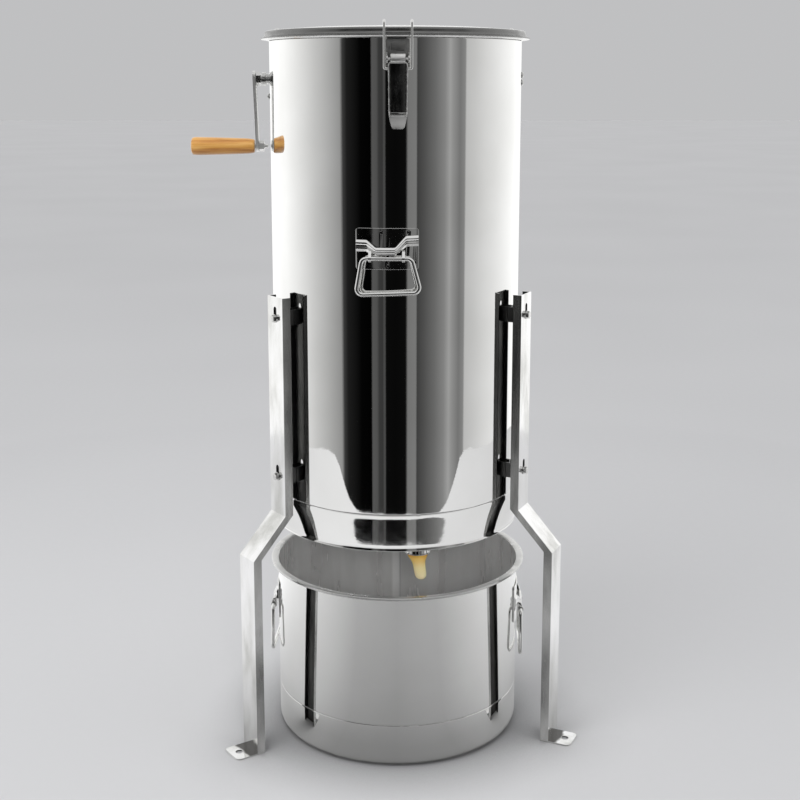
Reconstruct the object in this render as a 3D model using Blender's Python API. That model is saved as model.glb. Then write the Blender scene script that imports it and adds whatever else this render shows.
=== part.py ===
"""A two-frame honey extractor on a three-legged stand, with its receiving bucket.

Metres, +Z up. The origin is on the floor, on the drum's axis. The crank is on the -X side
and the front, with a latch and a drop handle, faces -Y.
"""

import math

import bmesh
import bpy
from mathutils import Matrix, Vector

GAP = 0.0003
ROUND = 48
FINE = 16

# Drum
DRUM_R = 0.200
SHEET = 0.0010
DRUM_TOP = 1.1235
SEAM_Z = 0.405
PAN_BOTTOM = 0.345
OUTLET = (0.035, -0.130)
OUTLET_BORE = 0.0165
SPOUT_BOTTOM = 0.3215

# Gears and shafts
CRANK_Z = 1.065
CRANK_SHAFT_R = 0.006
BASKET_SHAFT_R = 0.008
RUNNING = 0.00005
GEAR_TEETH = 20
PINION_TEETH = 10
PITCH_R = 0.050
ADDENDUM = 0.0028
DEDENDUM = 0.0036
SMALL_END = 0.75
BACK_SHARE = 0.80

# Crossbar
BAR_HALF = 0.1974
BAR_Z = 0.985
BAR_T = 0.004
BAR_TOP = 1.085
BAR_HALF_WIDTH = 0.020
LEFT_BOLT_Z = 1.0376
RIGHT_BOLT_Z = (1.0595, 1.0715)

# Crank
ARM_LENGTH = 0.106
ARM_T = 0.0045
ARM_WIDTH = 0.018
ARM_X = -0.2249
ARM_LEAN = 0.0034
GRIP_BOLT_R = 0.0034
GRIP_OUT = -0.328
GRIP_IN = -0.2262

# Basket
CAGE_HALF = 0.121
CAGE_NEAR = 0.085
CAGE_FAR = 0.130
CAGE_Z = (0.4270, 0.927)
CAGE_T = 0.0010
CAGE_RIB = 0.008
WINDOWS_ACROSS = 2
WINDOWS_DOWN = 3

# Legs
LEG_AZIMUTHS = {"front_left": 215.0, "front_right": 335.0, "rear": 95.0}
LEG_R_TOP = 0.227
LEG_R_LOW = 0.285
LEG_TOP = 0.7335
BEND_HIGH = 0.386
BEND_LOW = 0.323
LEG_WIDTH = 0.045
LEG_LIP = 0.014
LEG_T = 0.002
FOOT_LENGTH = 0.036
LEG_BOLT_Z = {"upper": 0.700, "lower": 0.447}
SLOT_WIDTH = 0.0085
SLOT_RISE = 0.014

# Lid and latches
LID_R = 0.2128
LATCH_AZIMUTHS = {"front": 271.2, "rear_right": 31.2, "rear_left": 151.2}
LEVER_PIVOT = (0.2095, 1.0925)
BAIL_PIVOT = (0.2150, 1.0785)
BAIL_R = 0.00175
BAIL_HALF = 0.020

# Drop handles
HANDLE_STANDOFF = 0.0072
HANDLE_WIRE = 0.0033
HANDLE_TOP_HALF = 0.0368
HANDLE_LOW_HALF = 0.0487
HANDLE_LUG_U = 0.025
DRUM_HANDLES = {"front": 266.6, "rear": 86.6}
DRUM_HANDLE_Z = 0.8027
DRUM_LOOP_DROP = 0.0527
BUCKET_HANDLES = {"left": 177.0, "right": 357.0}
BUCKET_HANDLE_Z = 0.197
BUCKET_LOOP_DROP = 0.070

# Bucket
BUCKET_CENTRE = (0.003, -0.024)
BUCKET_R = 0.199
BUCKET_SEAM = 0.070
BUCKET_RIM_Z = 0.284
BUCKET_RIM_R = 0.2103


def clear_scene():
    for obj in list(bpy.data.objects):
        bpy.data.objects.remove(obj)


def material(name, colour, roughness, metallic):
    mat = bpy.data.materials.new(name)
    mat.use_nodes = True
    shader = mat.node_tree.nodes["Principled BSDF"]
    shader.inputs["Base Color"].default_value = (*colour, 1.0)
    shader.inputs["Roughness"].default_value = roughness
    shader.inputs["Metallic"].default_value = metallic
    return mat


def mesh_of(bm):
    bmesh.ops.recalc_face_normals(bm, faces=bm.faces)
    mesh = bpy.data.meshes.new("shape")
    bm.to_mesh(mesh)
    bm.free()
    mesh.shade_smooth()
    mesh.set_sharp_from_angle(angle=math.radians(35))
    return mesh


def place(name, mesh, look, location=(0.0, 0.0, 0.0), turn=0.0):
    """An object with this mesh. Its own material takes its colour and finish from look."""
    mesh.name = name
    mesh.materials.clear()
    mesh.materials.append(material(name, *look))
    obj = bpy.data.objects.new(name, mesh)
    bpy.context.scene.collection.objects.link(obj)
    obj.location = location
    obj.rotation_euler = (0.0, 0.0, turn)
    return obj


def lofted(rings, closed=False):
    """A mesh through rings of points. A ring of one point is a pole. Open ends are capped."""
    bm = bmesh.new()
    made = [[bm.verts.new(point) for point in ring] for ring in rings]
    pairs = list(zip(made, made[1:]))
    if closed:
        pairs.append((made[-1], made[0]))
    for low, high in pairs:
        count = max(len(low), len(high))
        for i in range(count):
            j = (i + 1) % count
            if len(low) == 1:
                bm.faces.new((low[0], high[i], high[j]))
            elif len(high) == 1:
                bm.faces.new((low[i], low[j], high[0]))
            else:
                bm.faces.new((low[i], low[j], high[j], high[i]))
    if not closed:
        for end in (made[0], made[-1]):
            if len(end) > 2:
                bm.faces.new(end)
    return mesh_of(bm)


def turned(profile, segments=ROUND, axis="Z", centre=(0.0, 0.0)):
    """A solid of revolution. profile lists (radius, height) and closes on itself or on the axis."""
    rings = []
    for radius, height in profile:
        ring = []
        for i in range(segments if radius > 0 else 1):
            angle = math.tau * i / segments
            across = radius * math.cos(angle)
            along = radius * math.sin(angle)
            if axis == "Z":
                ring.append((centre[0] + across, centre[1] + along, height))
            elif axis == "Y":
                ring.append((centre[0] + across, height, centre[1] + along))
            else:
                ring.append((height, centre[0] + across, centre[1] + along))
        rings.append(ring)
    on_axis = profile[0][0] == 0 and profile[-1][0] == 0
    return lofted(rings, closed=not on_axis)


def rod(radius, start, end, axis, centre, segments=FINE):
    return turned(
        [(0, start), (radius, start), (radius, end), (0, end)], segments, axis, centre
    )


def bore_for(radius):
    """A faceted bore's corner radius that lets a round shaft of this radius turn in it."""
    return radius / math.cos(math.pi / FINE) + RUNNING


def prism(outline, low, high, axis="Z"):
    """An outline extruded along an axis. For X the outline is (y, z), for Y it is (x, z)."""
    order = {
        "X": lambda a, b, c: (c, a, b),
        "Y": lambda a, b, c: (a, c, b),
        "Z": lambda a, b, c: (a, b, c),
    }[axis]
    return lofted([[order(a, b, c) for a, b in outline] for c in (low, high)])


def box(low, high):
    (x0, y0, z0), (x1, y1, z1) = low, high
    return prism([(x0, y0), (x1, y0), (x1, y1), (x0, y1)], z0, z1)


def combine(base, others, operation):
    """The mesh of base after an exact Boolean with each of the other meshes in turn."""
    scene = bpy.context.scene.collection
    work = bpy.data.objects.new("work", base)
    scene.objects.link(work)
    tools = []
    for mesh in others:
        tool = bpy.data.objects.new("tool", mesh)
        tool.hide_render = True
        tool.display_type = "WIRE"
        scene.objects.link(tool)
        tools.append(tool)
        step = work.modifiers.new("step", "BOOLEAN")
        step.operation = operation
        step.object = tool
    graph = bpy.context.evaluated_depsgraph_get()
    result = bpy.data.meshes.new_from_object(work.evaluated_get(graph))
    for obj in [work, *tools]:
        bpy.data.objects.remove(obj)
    result.shade_smooth()
    result.set_sharp_from_angle(angle=math.radians(35))
    return result


def moved(mesh, matrix):
    mesh.transform(matrix)
    return mesh


def place_on_axis(name, mesh, look, pivot):
    """Places a mesh made where it belongs, with the object's origin on its joint's axis."""
    return place(name, moved(mesh, Matrix.Translation(-Vector(pivot))), look, pivot)


def rounded(points, radius, steps, closed):
    """The polyline through points with each corner replaced by an arc."""
    count = len(points)
    out = []
    for i, corner in enumerate(points):
        corner = Vector(corner)
        if not closed and i in (0, count - 1):
            out.append(corner)
            continue
        before = (Vector(points[i - 1]) - corner).normalized()
        after = (Vector(points[(i + 1) % count]) - corner).normalized()
        half = before.angle(after) / 2
        reach = radius / math.tan(half)
        centre = corner + (before + after).normalized() * radius / math.sin(half)
        first = corner + before * reach - centre
        last = corner + after * reach - centre
        sweep = first.angle(last)
        for k in range(steps + 1):
            share = k / steps
            out.append(
                centre
                + first * math.sin((1 - share) * sweep) / math.sin(sweep)
                + last * math.sin(share * sweep) / math.sin(sweep)
            )
    return out


def wire(name, points, radius, closed, look, location, turn):
    curve = bpy.data.curves.new(name, "CURVE")
    curve.dimensions = "3D"
    curve.bevel_depth = radius
    curve.bevel_resolution = 1
    curve.use_fill_caps = True
    spline = curve.splines.new("POLY")
    spline.points.add(len(points) - 1)
    for spot, point in zip(spline.points, points):
        spot.co = (*point, 1.0)
    spline.use_cyclic_u = closed
    curve.materials.append(material(name, *look))
    obj = bpy.data.objects.new(name, curve)
    bpy.context.scene.collection.objects.link(obj)
    obj.location = location
    obj.rotation_euler = (0.0, 0.0, turn)
    return obj


def faced_turn(azimuth):
    """The turn about Z that takes a shape facing -Y to this azimuth."""
    return math.radians(azimuth + 90)


def outward(azimuth, radius, height, centre=(0.0, 0.0)):
    angle = math.radians(azimuth)
    return (
        centre[0] + radius * math.cos(angle),
        centre[1] + radius * math.sin(angle),
        height,
    )


MIRROR_STEEL = ((0.78, 0.78, 0.77), 0.06, 1.0)
SATIN_STEEL = ((0.66, 0.66, 0.65), 0.22, 1.0)
BRIGHT_STEEL = ((0.74, 0.74, 0.73), 0.14, 1.0)
CAST_IRON = ((0.12, 0.12, 0.12), 0.50, 1.0)
BRASS = ((0.72, 0.52, 0.24), 0.30, 1.0)
WOOD = ((0.72, 0.46, 0.20), 0.45, 0.0)


def build_drum():
    wall = turned(
        [
            (DRUM_R, DRUM_TOP),
            (DRUM_R, SEAM_Z + GAP),
            (DRUM_R - SHEET, SEAM_Z + GAP),
            (DRUM_R - SHEET, DRUM_TOP),
        ]
    )
    holes = [rod(0.0088, -0.21, -0.19, "X", (0.0, CRANK_Z))]
    holes.append(rod(0.0028, -0.21, -0.19, "X", (0.0, LEFT_BOLT_Z), 8))
    for height in RIGHT_BOLT_Z:
        holes.append(rod(0.0028, 0.19, 0.21, "X", (0.0, height), 8))
    place("drum_wall", combine(wall, holes, "DIFFERENCE"), MIRROR_STEEL)

    inner = DRUM_R - SHEET
    pan = turned(
        [
            (0, 0.3714),
            (0.032, 0.3714),
            (0.130, 0.3567),
            (0.188, 0.3587),
            (inner, 0.3690),
            (inner, SEAM_Z),
            (DRUM_R, SEAM_Z),
            (DRUM_R, 0.3490),
            (DRUM_R + 0.0006, 0.3475),
            (DRUM_R, PAN_BOTTOM),
            (DRUM_R - 0.0020, PAN_BOTTOM),
            (DRUM_R - 0.0020, 0.3610),
            (0.188, 0.3574),
            (0.130, 0.3554),
            (0.032, 0.3702),
            (0, 0.3702),
        ]
    )
    hole = rod(OUTLET_BORE, 0.34, 0.38, "Z", OUTLET, 24)
    place("drum_pan", combine(pan, [hole], "DIFFERENCE"), MIRROR_STEEL)
    spout = turned(
        [
            (0.0192, 0.3549),
            (0.0192, SPOUT_BOTTOM + 0.003),
            (0.0205, SPOUT_BOTTOM + 0.002),
            (0.0205, SPOUT_BOTTOM),
            (0.0168, SPOUT_BOTTOM),
            (0.0168, 0.3549),
        ],
        24,
        "Z",
        OUTLET,
    )
    place("outlet_spout", spout, BRIGHT_STEEL)


def build_crossbar():
    outline = [
        (-BAR_HALF, BAR_Z),
        (BAR_HALF, BAR_Z),
        (BAR_HALF, BAR_TOP),
        (BAR_HALF - BAR_T, BAR_TOP),
        (BAR_HALF - BAR_T, BAR_Z + BAR_T),
        (BAR_T - BAR_HALF, BAR_Z + BAR_T),
        (BAR_T - BAR_HALF, BAR_TOP),
        (-BAR_HALF, BAR_TOP),
    ]
    bar = prism(outline, -BAR_HALF_WIDTH, BAR_HALF_WIDTH, "Y")
    holes = [
        rod(0.0125, BAR_Z - 0.01, BAR_Z + 0.01, "Z", (0.0, 0.0)),
        rod(0.0088, -0.21, -0.18, "X", (0.0, CRANK_Z)),
        rod(0.0028, -0.21, -0.18, "X", (0.0, LEFT_BOLT_Z), 8),
    ]
    for height in RIGHT_BOLT_Z:
        holes.append(rod(0.0028, 0.18, 0.21, "X", (0.0, height), 8))
    place("crossbar", combine(bar, holes, "DIFFERENCE"), SATIN_STEEL)

    bolts = {"left": (-1, LEFT_BOLT_Z)}
    bolts["right_lower"] = (1, RIGHT_BOLT_Z[0])
    bolts["right_upper"] = (1, RIGHT_BOLT_Z[1])
    for name, (side, height) in bolts.items():
        start = side * (DRUM_R + GAP)
        head = side * 0.004
        profile = [
            (0, start - side * 0.012),
            (0.0024, start - side * 0.012),
            (0.0024, start),
            (0.0054, start),
            (0.0054, start + head * 0.5),
            (0.0035, start + head),
            (0, start + head),
        ]
        bolt = turned(profile, 12, "X", (0.0, height))
        place("crossbar_bolt_" + name, bolt, BRIGHT_STEEL)

    bore = bore_for(CRANK_SHAFT_R)
    bush = turned(
        [
            (0.0106, -0.2130),
            (0.0106, -0.2066),
            (0.0083, -0.2060),
            (0.0083, -0.1900),
            (bore, -0.1900),
            (bore, -0.2130),
        ],
        FINE,
        "X",
        (0.0, CRANK_Z),
    )
    place("wall_bearing", bush, BRIGHT_STEEL)

    base = BAR_Z + BAR_T + GAP
    side = [(-0.018, base), (0.018, base), (0.018, base + 0.006), (0.013, base + 0.012)]
    for i in range(9):
        angle = math.pi * i / 8
        side.append((0.014 * math.cos(angle), CRANK_Z + 0.014 * math.sin(angle)))
    side.append((-0.013, base + 0.012))
    side.append((-0.018, base + 0.006))
    pillow = prism(side, -0.080, -0.062, "X")
    bore_tool = rod(bore, -0.09, -0.05, "X", (0.0, CRANK_Z))
    place("shaft_pillow", combine(pillow, [bore_tool], "DIFFERENCE"), CAST_IRON)

    bore = bore_for(BASKET_SHAFT_R)
    bearing = turned(
        [
            (0.0122, 0.9780),
            (bore, 0.9780),
            (bore, 0.9955),
            (0.0180, 0.9955),
            (0.0180, base),
            (0.0122, base),
        ],
        FINE,
    )
    place("top_bearing", bearing, BRASS)
    cup = turned(
        [
            (0, 0.3725),
            (0.020, 0.3725),
            (0.020, 0.3770),
            (0.014, 0.3800),
            (0.014, 0.3950),
            (bore, 0.3950),
            (bore, 0.3778),
            (0, 0.3778),
        ],
        FINE,
    )
    place("pivot_cup", cup, BRASS)


def tooth_ring(teeth, pitch_r, pitch_h, tilt, scale, place_point, phase):
    """One end of a bevel gear: four points a tooth, root, tip, tip and root.

    pitch_h is the distance back from the cone's apex, and tilt the pitch cone's half angle.
    """
    step = math.tau / teeth
    ring = []
    for i in range(teeth):
        middle = phase + i * step
        for share, height in (
            (-0.30, -DEDENDUM),
            (-0.12, ADDENDUM),
            (0.12, ADDENDUM),
            (0.30, -DEDENDUM),
        ):
            radius = (pitch_r + height * math.cos(tilt)) * scale
            back = (pitch_h - height * math.sin(tilt)) * scale
            ring.append(place_point(radius, back, middle + share * step))
    return ring


def plain_ring(teeth, radius, back, place_point, phase):
    step = math.tau / teeth
    shares = (-0.30, -0.12, 0.12, 0.30)
    return [
        place_point(radius, back, phase + i * step + share * step)
        for i in range(teeth)
        for share in shares
    ]


def bevel_gear(teeth, pitch_r, pitch_h, bore, depth, place_point, phase):
    """A bevel gear with straight teeth whose pitch cone's apex is place_point's origin."""
    tilt = math.atan2(pitch_r, pitch_h)
    front = pitch_h * SMALL_END - 0.002
    rings = [
        plain_ring(teeth, bore, front, place_point, phase),
        tooth_ring(teeth, pitch_r, pitch_h, tilt, SMALL_END, place_point, phase),
        tooth_ring(teeth, pitch_r, pitch_h, tilt, 1.0, place_point, phase),
        plain_ring(teeth, pitch_r * BACK_SHARE, pitch_h + depth, place_point, phase),
        plain_ring(teeth, bore, pitch_h + depth, place_point, phase),
    ]
    return lofted(rings, closed=True)


def build_gears():
    pinion_r = PITCH_R * PINION_TEETH / GEAR_TEETH
    half_pitch = math.pi / GEAR_TEETH

    def on_crank(radius, back, angle):
        return (
            -back,
            radius * math.sin(angle),
            CRANK_Z - radius * math.cos(angle),
        )

    def on_basket(radius, back, angle):
        return (-radius * math.cos(angle), radius * math.sin(angle), CRANK_Z - back)

    gear = bevel_gear(
        GEAR_TEETH,
        PITCH_R,
        pinion_r,
        bore_for(CRANK_SHAFT_R),
        0.012,
        on_crank,
        half_pitch,
    )
    place_on_axis("drive_gear", gear, CAST_IRON, (0.0, 0.0, CRANK_Z))
    pinion = bevel_gear(
        PINION_TEETH,
        pinion_r,
        PITCH_R,
        bore_for(BASKET_SHAFT_R),
        0.010,
        on_basket,
        0.0,
    )
    place("pinion_gear", pinion, CAST_IRON)


def cage_panel_points(side):
    """The corner lines of a cage's plan, and how many windows each of its walls has."""
    near, far = side * CAGE_NEAR, side * CAGE_FAR
    return [
        ((-CAGE_HALF, near), (CAGE_HALF, near), WINDOWS_ACROSS),
        ((CAGE_HALF, near), (CAGE_HALF, far), 0),
        ((CAGE_HALF, far), (-CAGE_HALF, far), WINDOWS_ACROSS),
        ((-CAGE_HALF, far), (-CAGE_HALF, near), 0),
    ]


def cage_mesh(side):
    """A frame cage: an upright sleeve of punched sheet, open at the top and bottom."""
    rib = CAGE_RIB
    rows = WINDOWS_DOWN
    bm = bmesh.new()
    low, high = CAGE_Z
    window_h = (high - low - rib) / rows - rib
    heights = [low]
    for _ in range(rows):
        heights += [heights[-1] + rib, heights[-1] + rib + window_h]
    heights.append(high)
    columns = []
    punched = []
    for start, end, windows in cage_panel_points(side):
        start, end = Vector(start), Vector(end)
        length = (end - start).length
        stops = [0.0]
        if windows:
            width = (length - rib) / windows - rib
            for _ in range(windows):
                stops += [stops[-1] + rib, stops[-1] + rib + width]
        for k, stop in enumerate(stops):
            columns.append(start.lerp(end, stop / length))
            punched.append(bool(windows) and k % 2 == 1)
    grid = [[bm.verts.new((*spot, z)) for z in heights] for spot in columns]
    for i in range(len(grid)):
        j = (i + 1) % len(grid)
        for k in range(len(heights) - 1):
            if punched[i] and k % 2 == 1:
                continue
            bm.faces.new((grid[i][k], grid[j][k], grid[j][k + 1], grid[i][k + 1]))
    return mesh_of(bm)


def spider_outline(head_near, head_far, head_half):
    """A flat two-armed spider seen from above: hub, two arms along Y, and a head on each."""
    arm = 0.010
    hub = 0.018
    start = math.acos(arm / hub)
    side = [(hub * math.cos(a), hub * math.sin(a)) for a in (0.0, start / 2, start)]
    side += [(arm, head_near), (head_half, head_near), (head_half, head_far)]
    right_top = side
    left_top = [(-x, y) for x, y in reversed(side)]
    left_low = [(-x, -y) for x, y in side[1:]]
    right_low = [(x, -y) for x, y in reversed(side[1:])]
    return right_top + left_top + left_low + right_low


def build_basket():
    shaft = turned(
        [
            (0, 0.3782),
            (0.004, 0.3782),
            (BASKET_SHAFT_R, 0.3822),
            (BASKET_SHAFT_R, 1.0325),
            (0.006, 1.0345),
            (0, 1.0345),
        ],
        16,
    )
    place("basket_shaft", shaft, SATIN_STEEL)
    wall = CAGE_NEAR - CAGE_T / 2 - GAP
    heads = {
        "basket_top_spider": (0.070, wall, 0.100, 0.905),
        "basket_bottom_spider": (0.062, CAGE_FAR, 0.115, CAGE_Z[0] - 0.0064),
    }
    for name, (near, far, half, low) in heads.items():
        plate = prism(spider_outline(near, far, half), low, low + 0.006)
        bore = rod(bore_for(BASKET_SHAFT_R), low - 0.01, low + 0.02, "Z", (0.0, 0.0))
        place(name, combine(plate, [bore], "DIFFERENCE"), SATIN_STEEL)
    for name, side in (("front", -1), ("rear", 1)):
        cage = place("frame_cage_" + name, cage_mesh(side), SATIN_STEEL)
        sheet = cage.modifiers.new("sheet", "SOLIDIFY")
        sheet.thickness = CAGE_T
        sheet.offset = 0.0


def hex_ring(flats, x, y, z, count=12):
    ring = []
    for i in range(count):
        angle = math.tau * i / count
        off = (math.degrees(angle) + 30) % 60 - 30
        radius = flats / 2 / math.cos(math.radians(off))
        ring.append((x, y + radius * math.cos(angle), z + radius * math.sin(angle)))
    return ring


def round_ring(radius, x, y, z, count=12):
    return [
        (
            x,
            y + radius * math.cos(math.tau * i / count),
            z + radius * math.sin(math.tau * i / count),
        )
        for i in range(count)
    ]


def build_crank():
    low_z = CRANK_Z - ARM_LENGTH
    on_shaft = (ARM_X, 0.0, CRANK_Z)
    on_grip = (ARM_X, 0.0, low_z)
    shaft = rod(CRANK_SHAFT_R, -0.2265, -0.0185, "X", (0.0, CRANK_Z), 16)
    place_on_axis("crank_shaft", shaft, SATIN_STEEL, on_shaft)

    outline = []
    for i in range(9):
        angle = math.pi * i / 8
        outline.append(
            (
                ARM_WIDTH / 2 * math.cos(angle),
                CRANK_Z + 0.004 + ARM_WIDTH / 2 * math.sin(angle),
            )
        )
    for i in range(9):
        angle = math.pi + math.pi * i / 8
        outline.append(
            (ARM_WIDTH / 2 * math.cos(angle), low_z + ARM_WIDTH / 2 * math.sin(angle))
        )
    arm = prism(outline, ARM_X - ARM_T / 2, ARM_X + ARM_T / 2, "X")
    for vert in arm.vertices:
        vert.co.x += ARM_LEAN * (CRANK_Z - vert.co.z) / ARM_LENGTH
    holes = [
        rod(bore_for(CRANK_SHAFT_R), -0.24, -0.20, "X", (0.0, CRANK_Z)),
        rod(bore_for(GRIP_BOLT_R), -0.24, -0.20, "X", (0.0, low_z)),
    ]
    arm = combine(arm, holes, "DIFFERENCE")
    place_on_axis("crank_arm", arm, BRIGHT_STEEL, on_shaft)

    hole = CRANK_SHAFT_R + 2 * GAP
    nut = lofted(
        [
            round_ring(hole, -0.2218, 0.0, CRANK_Z),
            hex_ring(0.0190, -0.2218, 0.0, CRANK_Z),
            hex_ring(0.0190, -0.2146, 0.0, CRANK_Z),
            round_ring(hole, -0.2146, 0.0, CRANK_Z),
        ],
        closed=True,
    )
    place_on_axis("crank_lock_nut", nut, BRIGHT_STEEL, on_shaft)

    bolt = turned(
        [
            (0, GRIP_OUT + 0.0018),
            (0.0058, GRIP_OUT + 0.0018),
            (0.0058, GRIP_OUT + 0.0052),
            (GRIP_BOLT_R, GRIP_OUT + 0.0052),
            (GRIP_BOLT_R, GRIP_IN + 0.0006),
            (0.0055, GRIP_IN + 0.0006),
            (0.0055, GRIP_IN + 0.0016),
            (GRIP_BOLT_R, GRIP_IN + 0.0016),
            (GRIP_BOLT_R, -0.2055),
            (0.0020, -0.2045),
            (0, -0.2045),
        ],
        FINE,
        "X",
        (0.0, low_z),
    )
    place_on_axis("grip_bolt", bolt, BRIGHT_STEEL, on_grip)
    nut = lofted(
        [
            round_ring(GRIP_BOLT_R + GAP, -0.2186, 0.0, low_z),
            hex_ring(0.0150, -0.2186, 0.0, low_z),
            hex_ring(0.0150, -0.2110, 0.0, low_z),
            round_ring(GRIP_BOLT_R + GAP, -0.2110, 0.0, low_z),
        ],
        closed=True,
    )
    place_on_axis("grip_nut", nut, BRIGHT_STEEL, on_grip)

    grip = turned(
        [
            (bore_for(GRIP_BOLT_R), GRIP_OUT + 0.0058),
            (0.0070, GRIP_OUT + 0.0058),
            (0.0070, GRIP_OUT),
            (0.0110, GRIP_OUT),
            (0.0138, GRIP_OUT + 0.0030),
            (0.0145, GRIP_OUT + 0.0080),
            (0.0140, GRIP_OUT + 0.0260),
            (0.0128, GRIP_OUT + 0.0500),
            (0.0122, GRIP_OUT + 0.0700),
            (0.0124, GRIP_IN - 0.0120),
            (0.0116, GRIP_IN - 0.0030),
            (0.0095, GRIP_IN),
            (bore_for(GRIP_BOLT_R), GRIP_IN),
        ],
        FINE,
        "X",
        (0.0, low_z),
    )
    place_on_axis("crank_grip", grip, WOOD, on_grip)


def leg_section(radius, z):
    half = LEG_WIDTH / 2
    inner = radius - LEG_T
    lip = radius - LEG_LIP
    return [
        (radius, -half, z),
        (radius, half, z),
        (lip, half, z),
        (lip, half - LEG_T, z),
        (inner, half - LEG_T, z),
        (inner, LEG_T - half, z),
        (lip, LEG_T - half, z),
        (lip, -half, z),
    ]


def leg_mesh():
    """One leg, facing +X: a pressed channel with a dog-leg, two slots and a bent-out foot."""
    channel = lofted(
        [
            leg_section(LEG_R_LOW, 0.0),
            leg_section(LEG_R_LOW, BEND_LOW),
            leg_section(LEG_R_TOP, BEND_HIGH),
            leg_section(LEG_R_TOP, LEG_TOP),
        ]
    )
    half = LEG_WIDTH / 2
    tip = LEG_R_LOW + FOOT_LENGTH
    corner = 0.008
    outline = [(LEG_R_LOW - 0.001, -half), (LEG_R_LOW - 0.001, half)]
    for side in (1, -1):
        for i in range(5):
            angle = side * math.radians(90 - 22.5 * i if side > 0 else 22.5 * i)
            outline.append(
                (
                    tip - corner + corner * math.cos(angle),
                    side * (half - corner) + corner * math.sin(angle),
                )
            )
    foot = prism(outline, 0.0, LEG_T)
    whole = combine(channel, [foot], "UNION")
    tools = [rod(0.006, -0.01, 0.01, "Z", (LEG_R_LOW + 0.021, 0.0), 16)]
    for height in LEG_BOLT_Z.values():
        tools.append(slot_tool(height))
    return combine(whole, tools, "DIFFERENCE")


def slot_tool(height):
    """An upright slot with round ends through a leg's web, its lower end on the bolt."""
    reach = SLOT_WIDTH / 2 + GAP
    outline = []
    for i in range(7):
        angle = math.pi * i / 6
        outline.append(
            (reach * math.cos(angle), height + SLOT_RISE + reach * math.sin(angle))
        )
    for i in range(7):
        angle = math.pi + math.pi * i / 6
        outline.append((reach * math.cos(angle), height + reach * math.sin(angle)))
    return prism(outline, LEG_R_TOP - 0.01, LEG_R_TOP + 0.01, "X")


def bracket_mesh():
    """A hat bracket between the drum wall and a leg's web, facing +X, centred on z = 0."""
    back = DRUM_R + GAP
    front = LEG_R_TOP - LEG_T - GAP
    half, t, tall = 0.011, 0.0025, 0.012
    outline = [
        (back, -half),
        (front, -half),
        (front, half),
        (back, half),
        (back, half - t),
        (front - t, half - t),
        (front - t, t - half),
        (back, t - half),
    ]
    hat = prism(outline, -tall, tall)
    return combine(hat, [rod(0.0034, 0.21, 0.23, "X", (0.0, 0.0), 12)], "DIFFERENCE")


def leg_bolt_mesh():
    """A hexagon bolt with a washer face, along X, centred on z = 0."""
    seat = LEG_R_TOP + GAP
    rings = [
        [(0.2120, 0.0, 0.0)],
        round_ring(0.0030, 0.2120, 0.0, 0.0),
        round_ring(0.0030, seat, 0.0, 0.0),
        round_ring(0.0068, seat, 0.0, 0.0),
        round_ring(0.0068, seat + 0.0012, 0.0, 0.0),
        hex_ring(0.0100, seat + 0.0012, 0.0, 0.0),
        hex_ring(0.0100, seat + 0.0055, 0.0, 0.0),
        [(seat + 0.0060, 0.0, 0.0)],
    ]
    return lofted(rings)


def build_legs():
    leg = leg_mesh()
    bracket = bracket_mesh()
    bolt = leg_bolt_mesh()
    for name, azimuth in LEG_AZIMUTHS.items():
        turn = math.radians(azimuth)
        place("leg_" + name, leg.copy(), BRIGHT_STEEL, turn=turn)
        for level, height in LEG_BOLT_Z.items():
            spot = (0.0, 0.0, height)
            label = name + "_" + level
            place("leg_bracket_" + label, bracket.copy(), SATIN_STEEL, spot, turn)
            place("leg_bolt_" + label, bolt.copy(), BRIGHT_STEEL, spot, turn)


def build_lid():
    lid = turned(
        [
            (0, 1.1450),
            (0.120, 1.1435),
            (0.190, 1.1391),
            (0.2035, 1.1382),
            (0.2062, 1.1362),
            (0.2074, 1.1325),
            (0.2082, 1.1300),
            (0.2118, 1.1280),
            (LID_R, 1.1268),
            (0.2120, 1.1258),
            (0.2030, 1.1258),
            (0.2022, DRUM_TOP + GAP),
            (0.1975, DRUM_TOP + GAP),
            (0.1972, 1.1120),
            (0.1956, 1.1120),
            (0.1956, 1.1372),
            (0.190, 1.1380),
            (0.120, 1.1424),
            (0, 1.1438),
        ]
    )
    place("lid", lid, MIRROR_STEEL)


def latch_base_mesh():
    """A latch's base plate with two ears and their stub pins, facing -Y."""
    plate = box((-0.017, -DRUM_R - 0.0018, 1.080), (0.017, -DRUM_R - GAP, 1.1215))
    radius, height = LEVER_PIVOT
    parts = []
    for side in (-1, 1):
        inner, outer = sorted((side * 0.0150, side * 0.0165))
        parts.append(box((inner, -0.2140, 1.0845), (outer, -DRUM_R - 0.0010, 1.1010)))
        start, end = sorted((side * 0.0113, side * 0.0158))
        parts.append(rod(0.0020, start, end, "X", (-radius, height), 10))
    return combine(plate, parts, "UNION")


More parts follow.
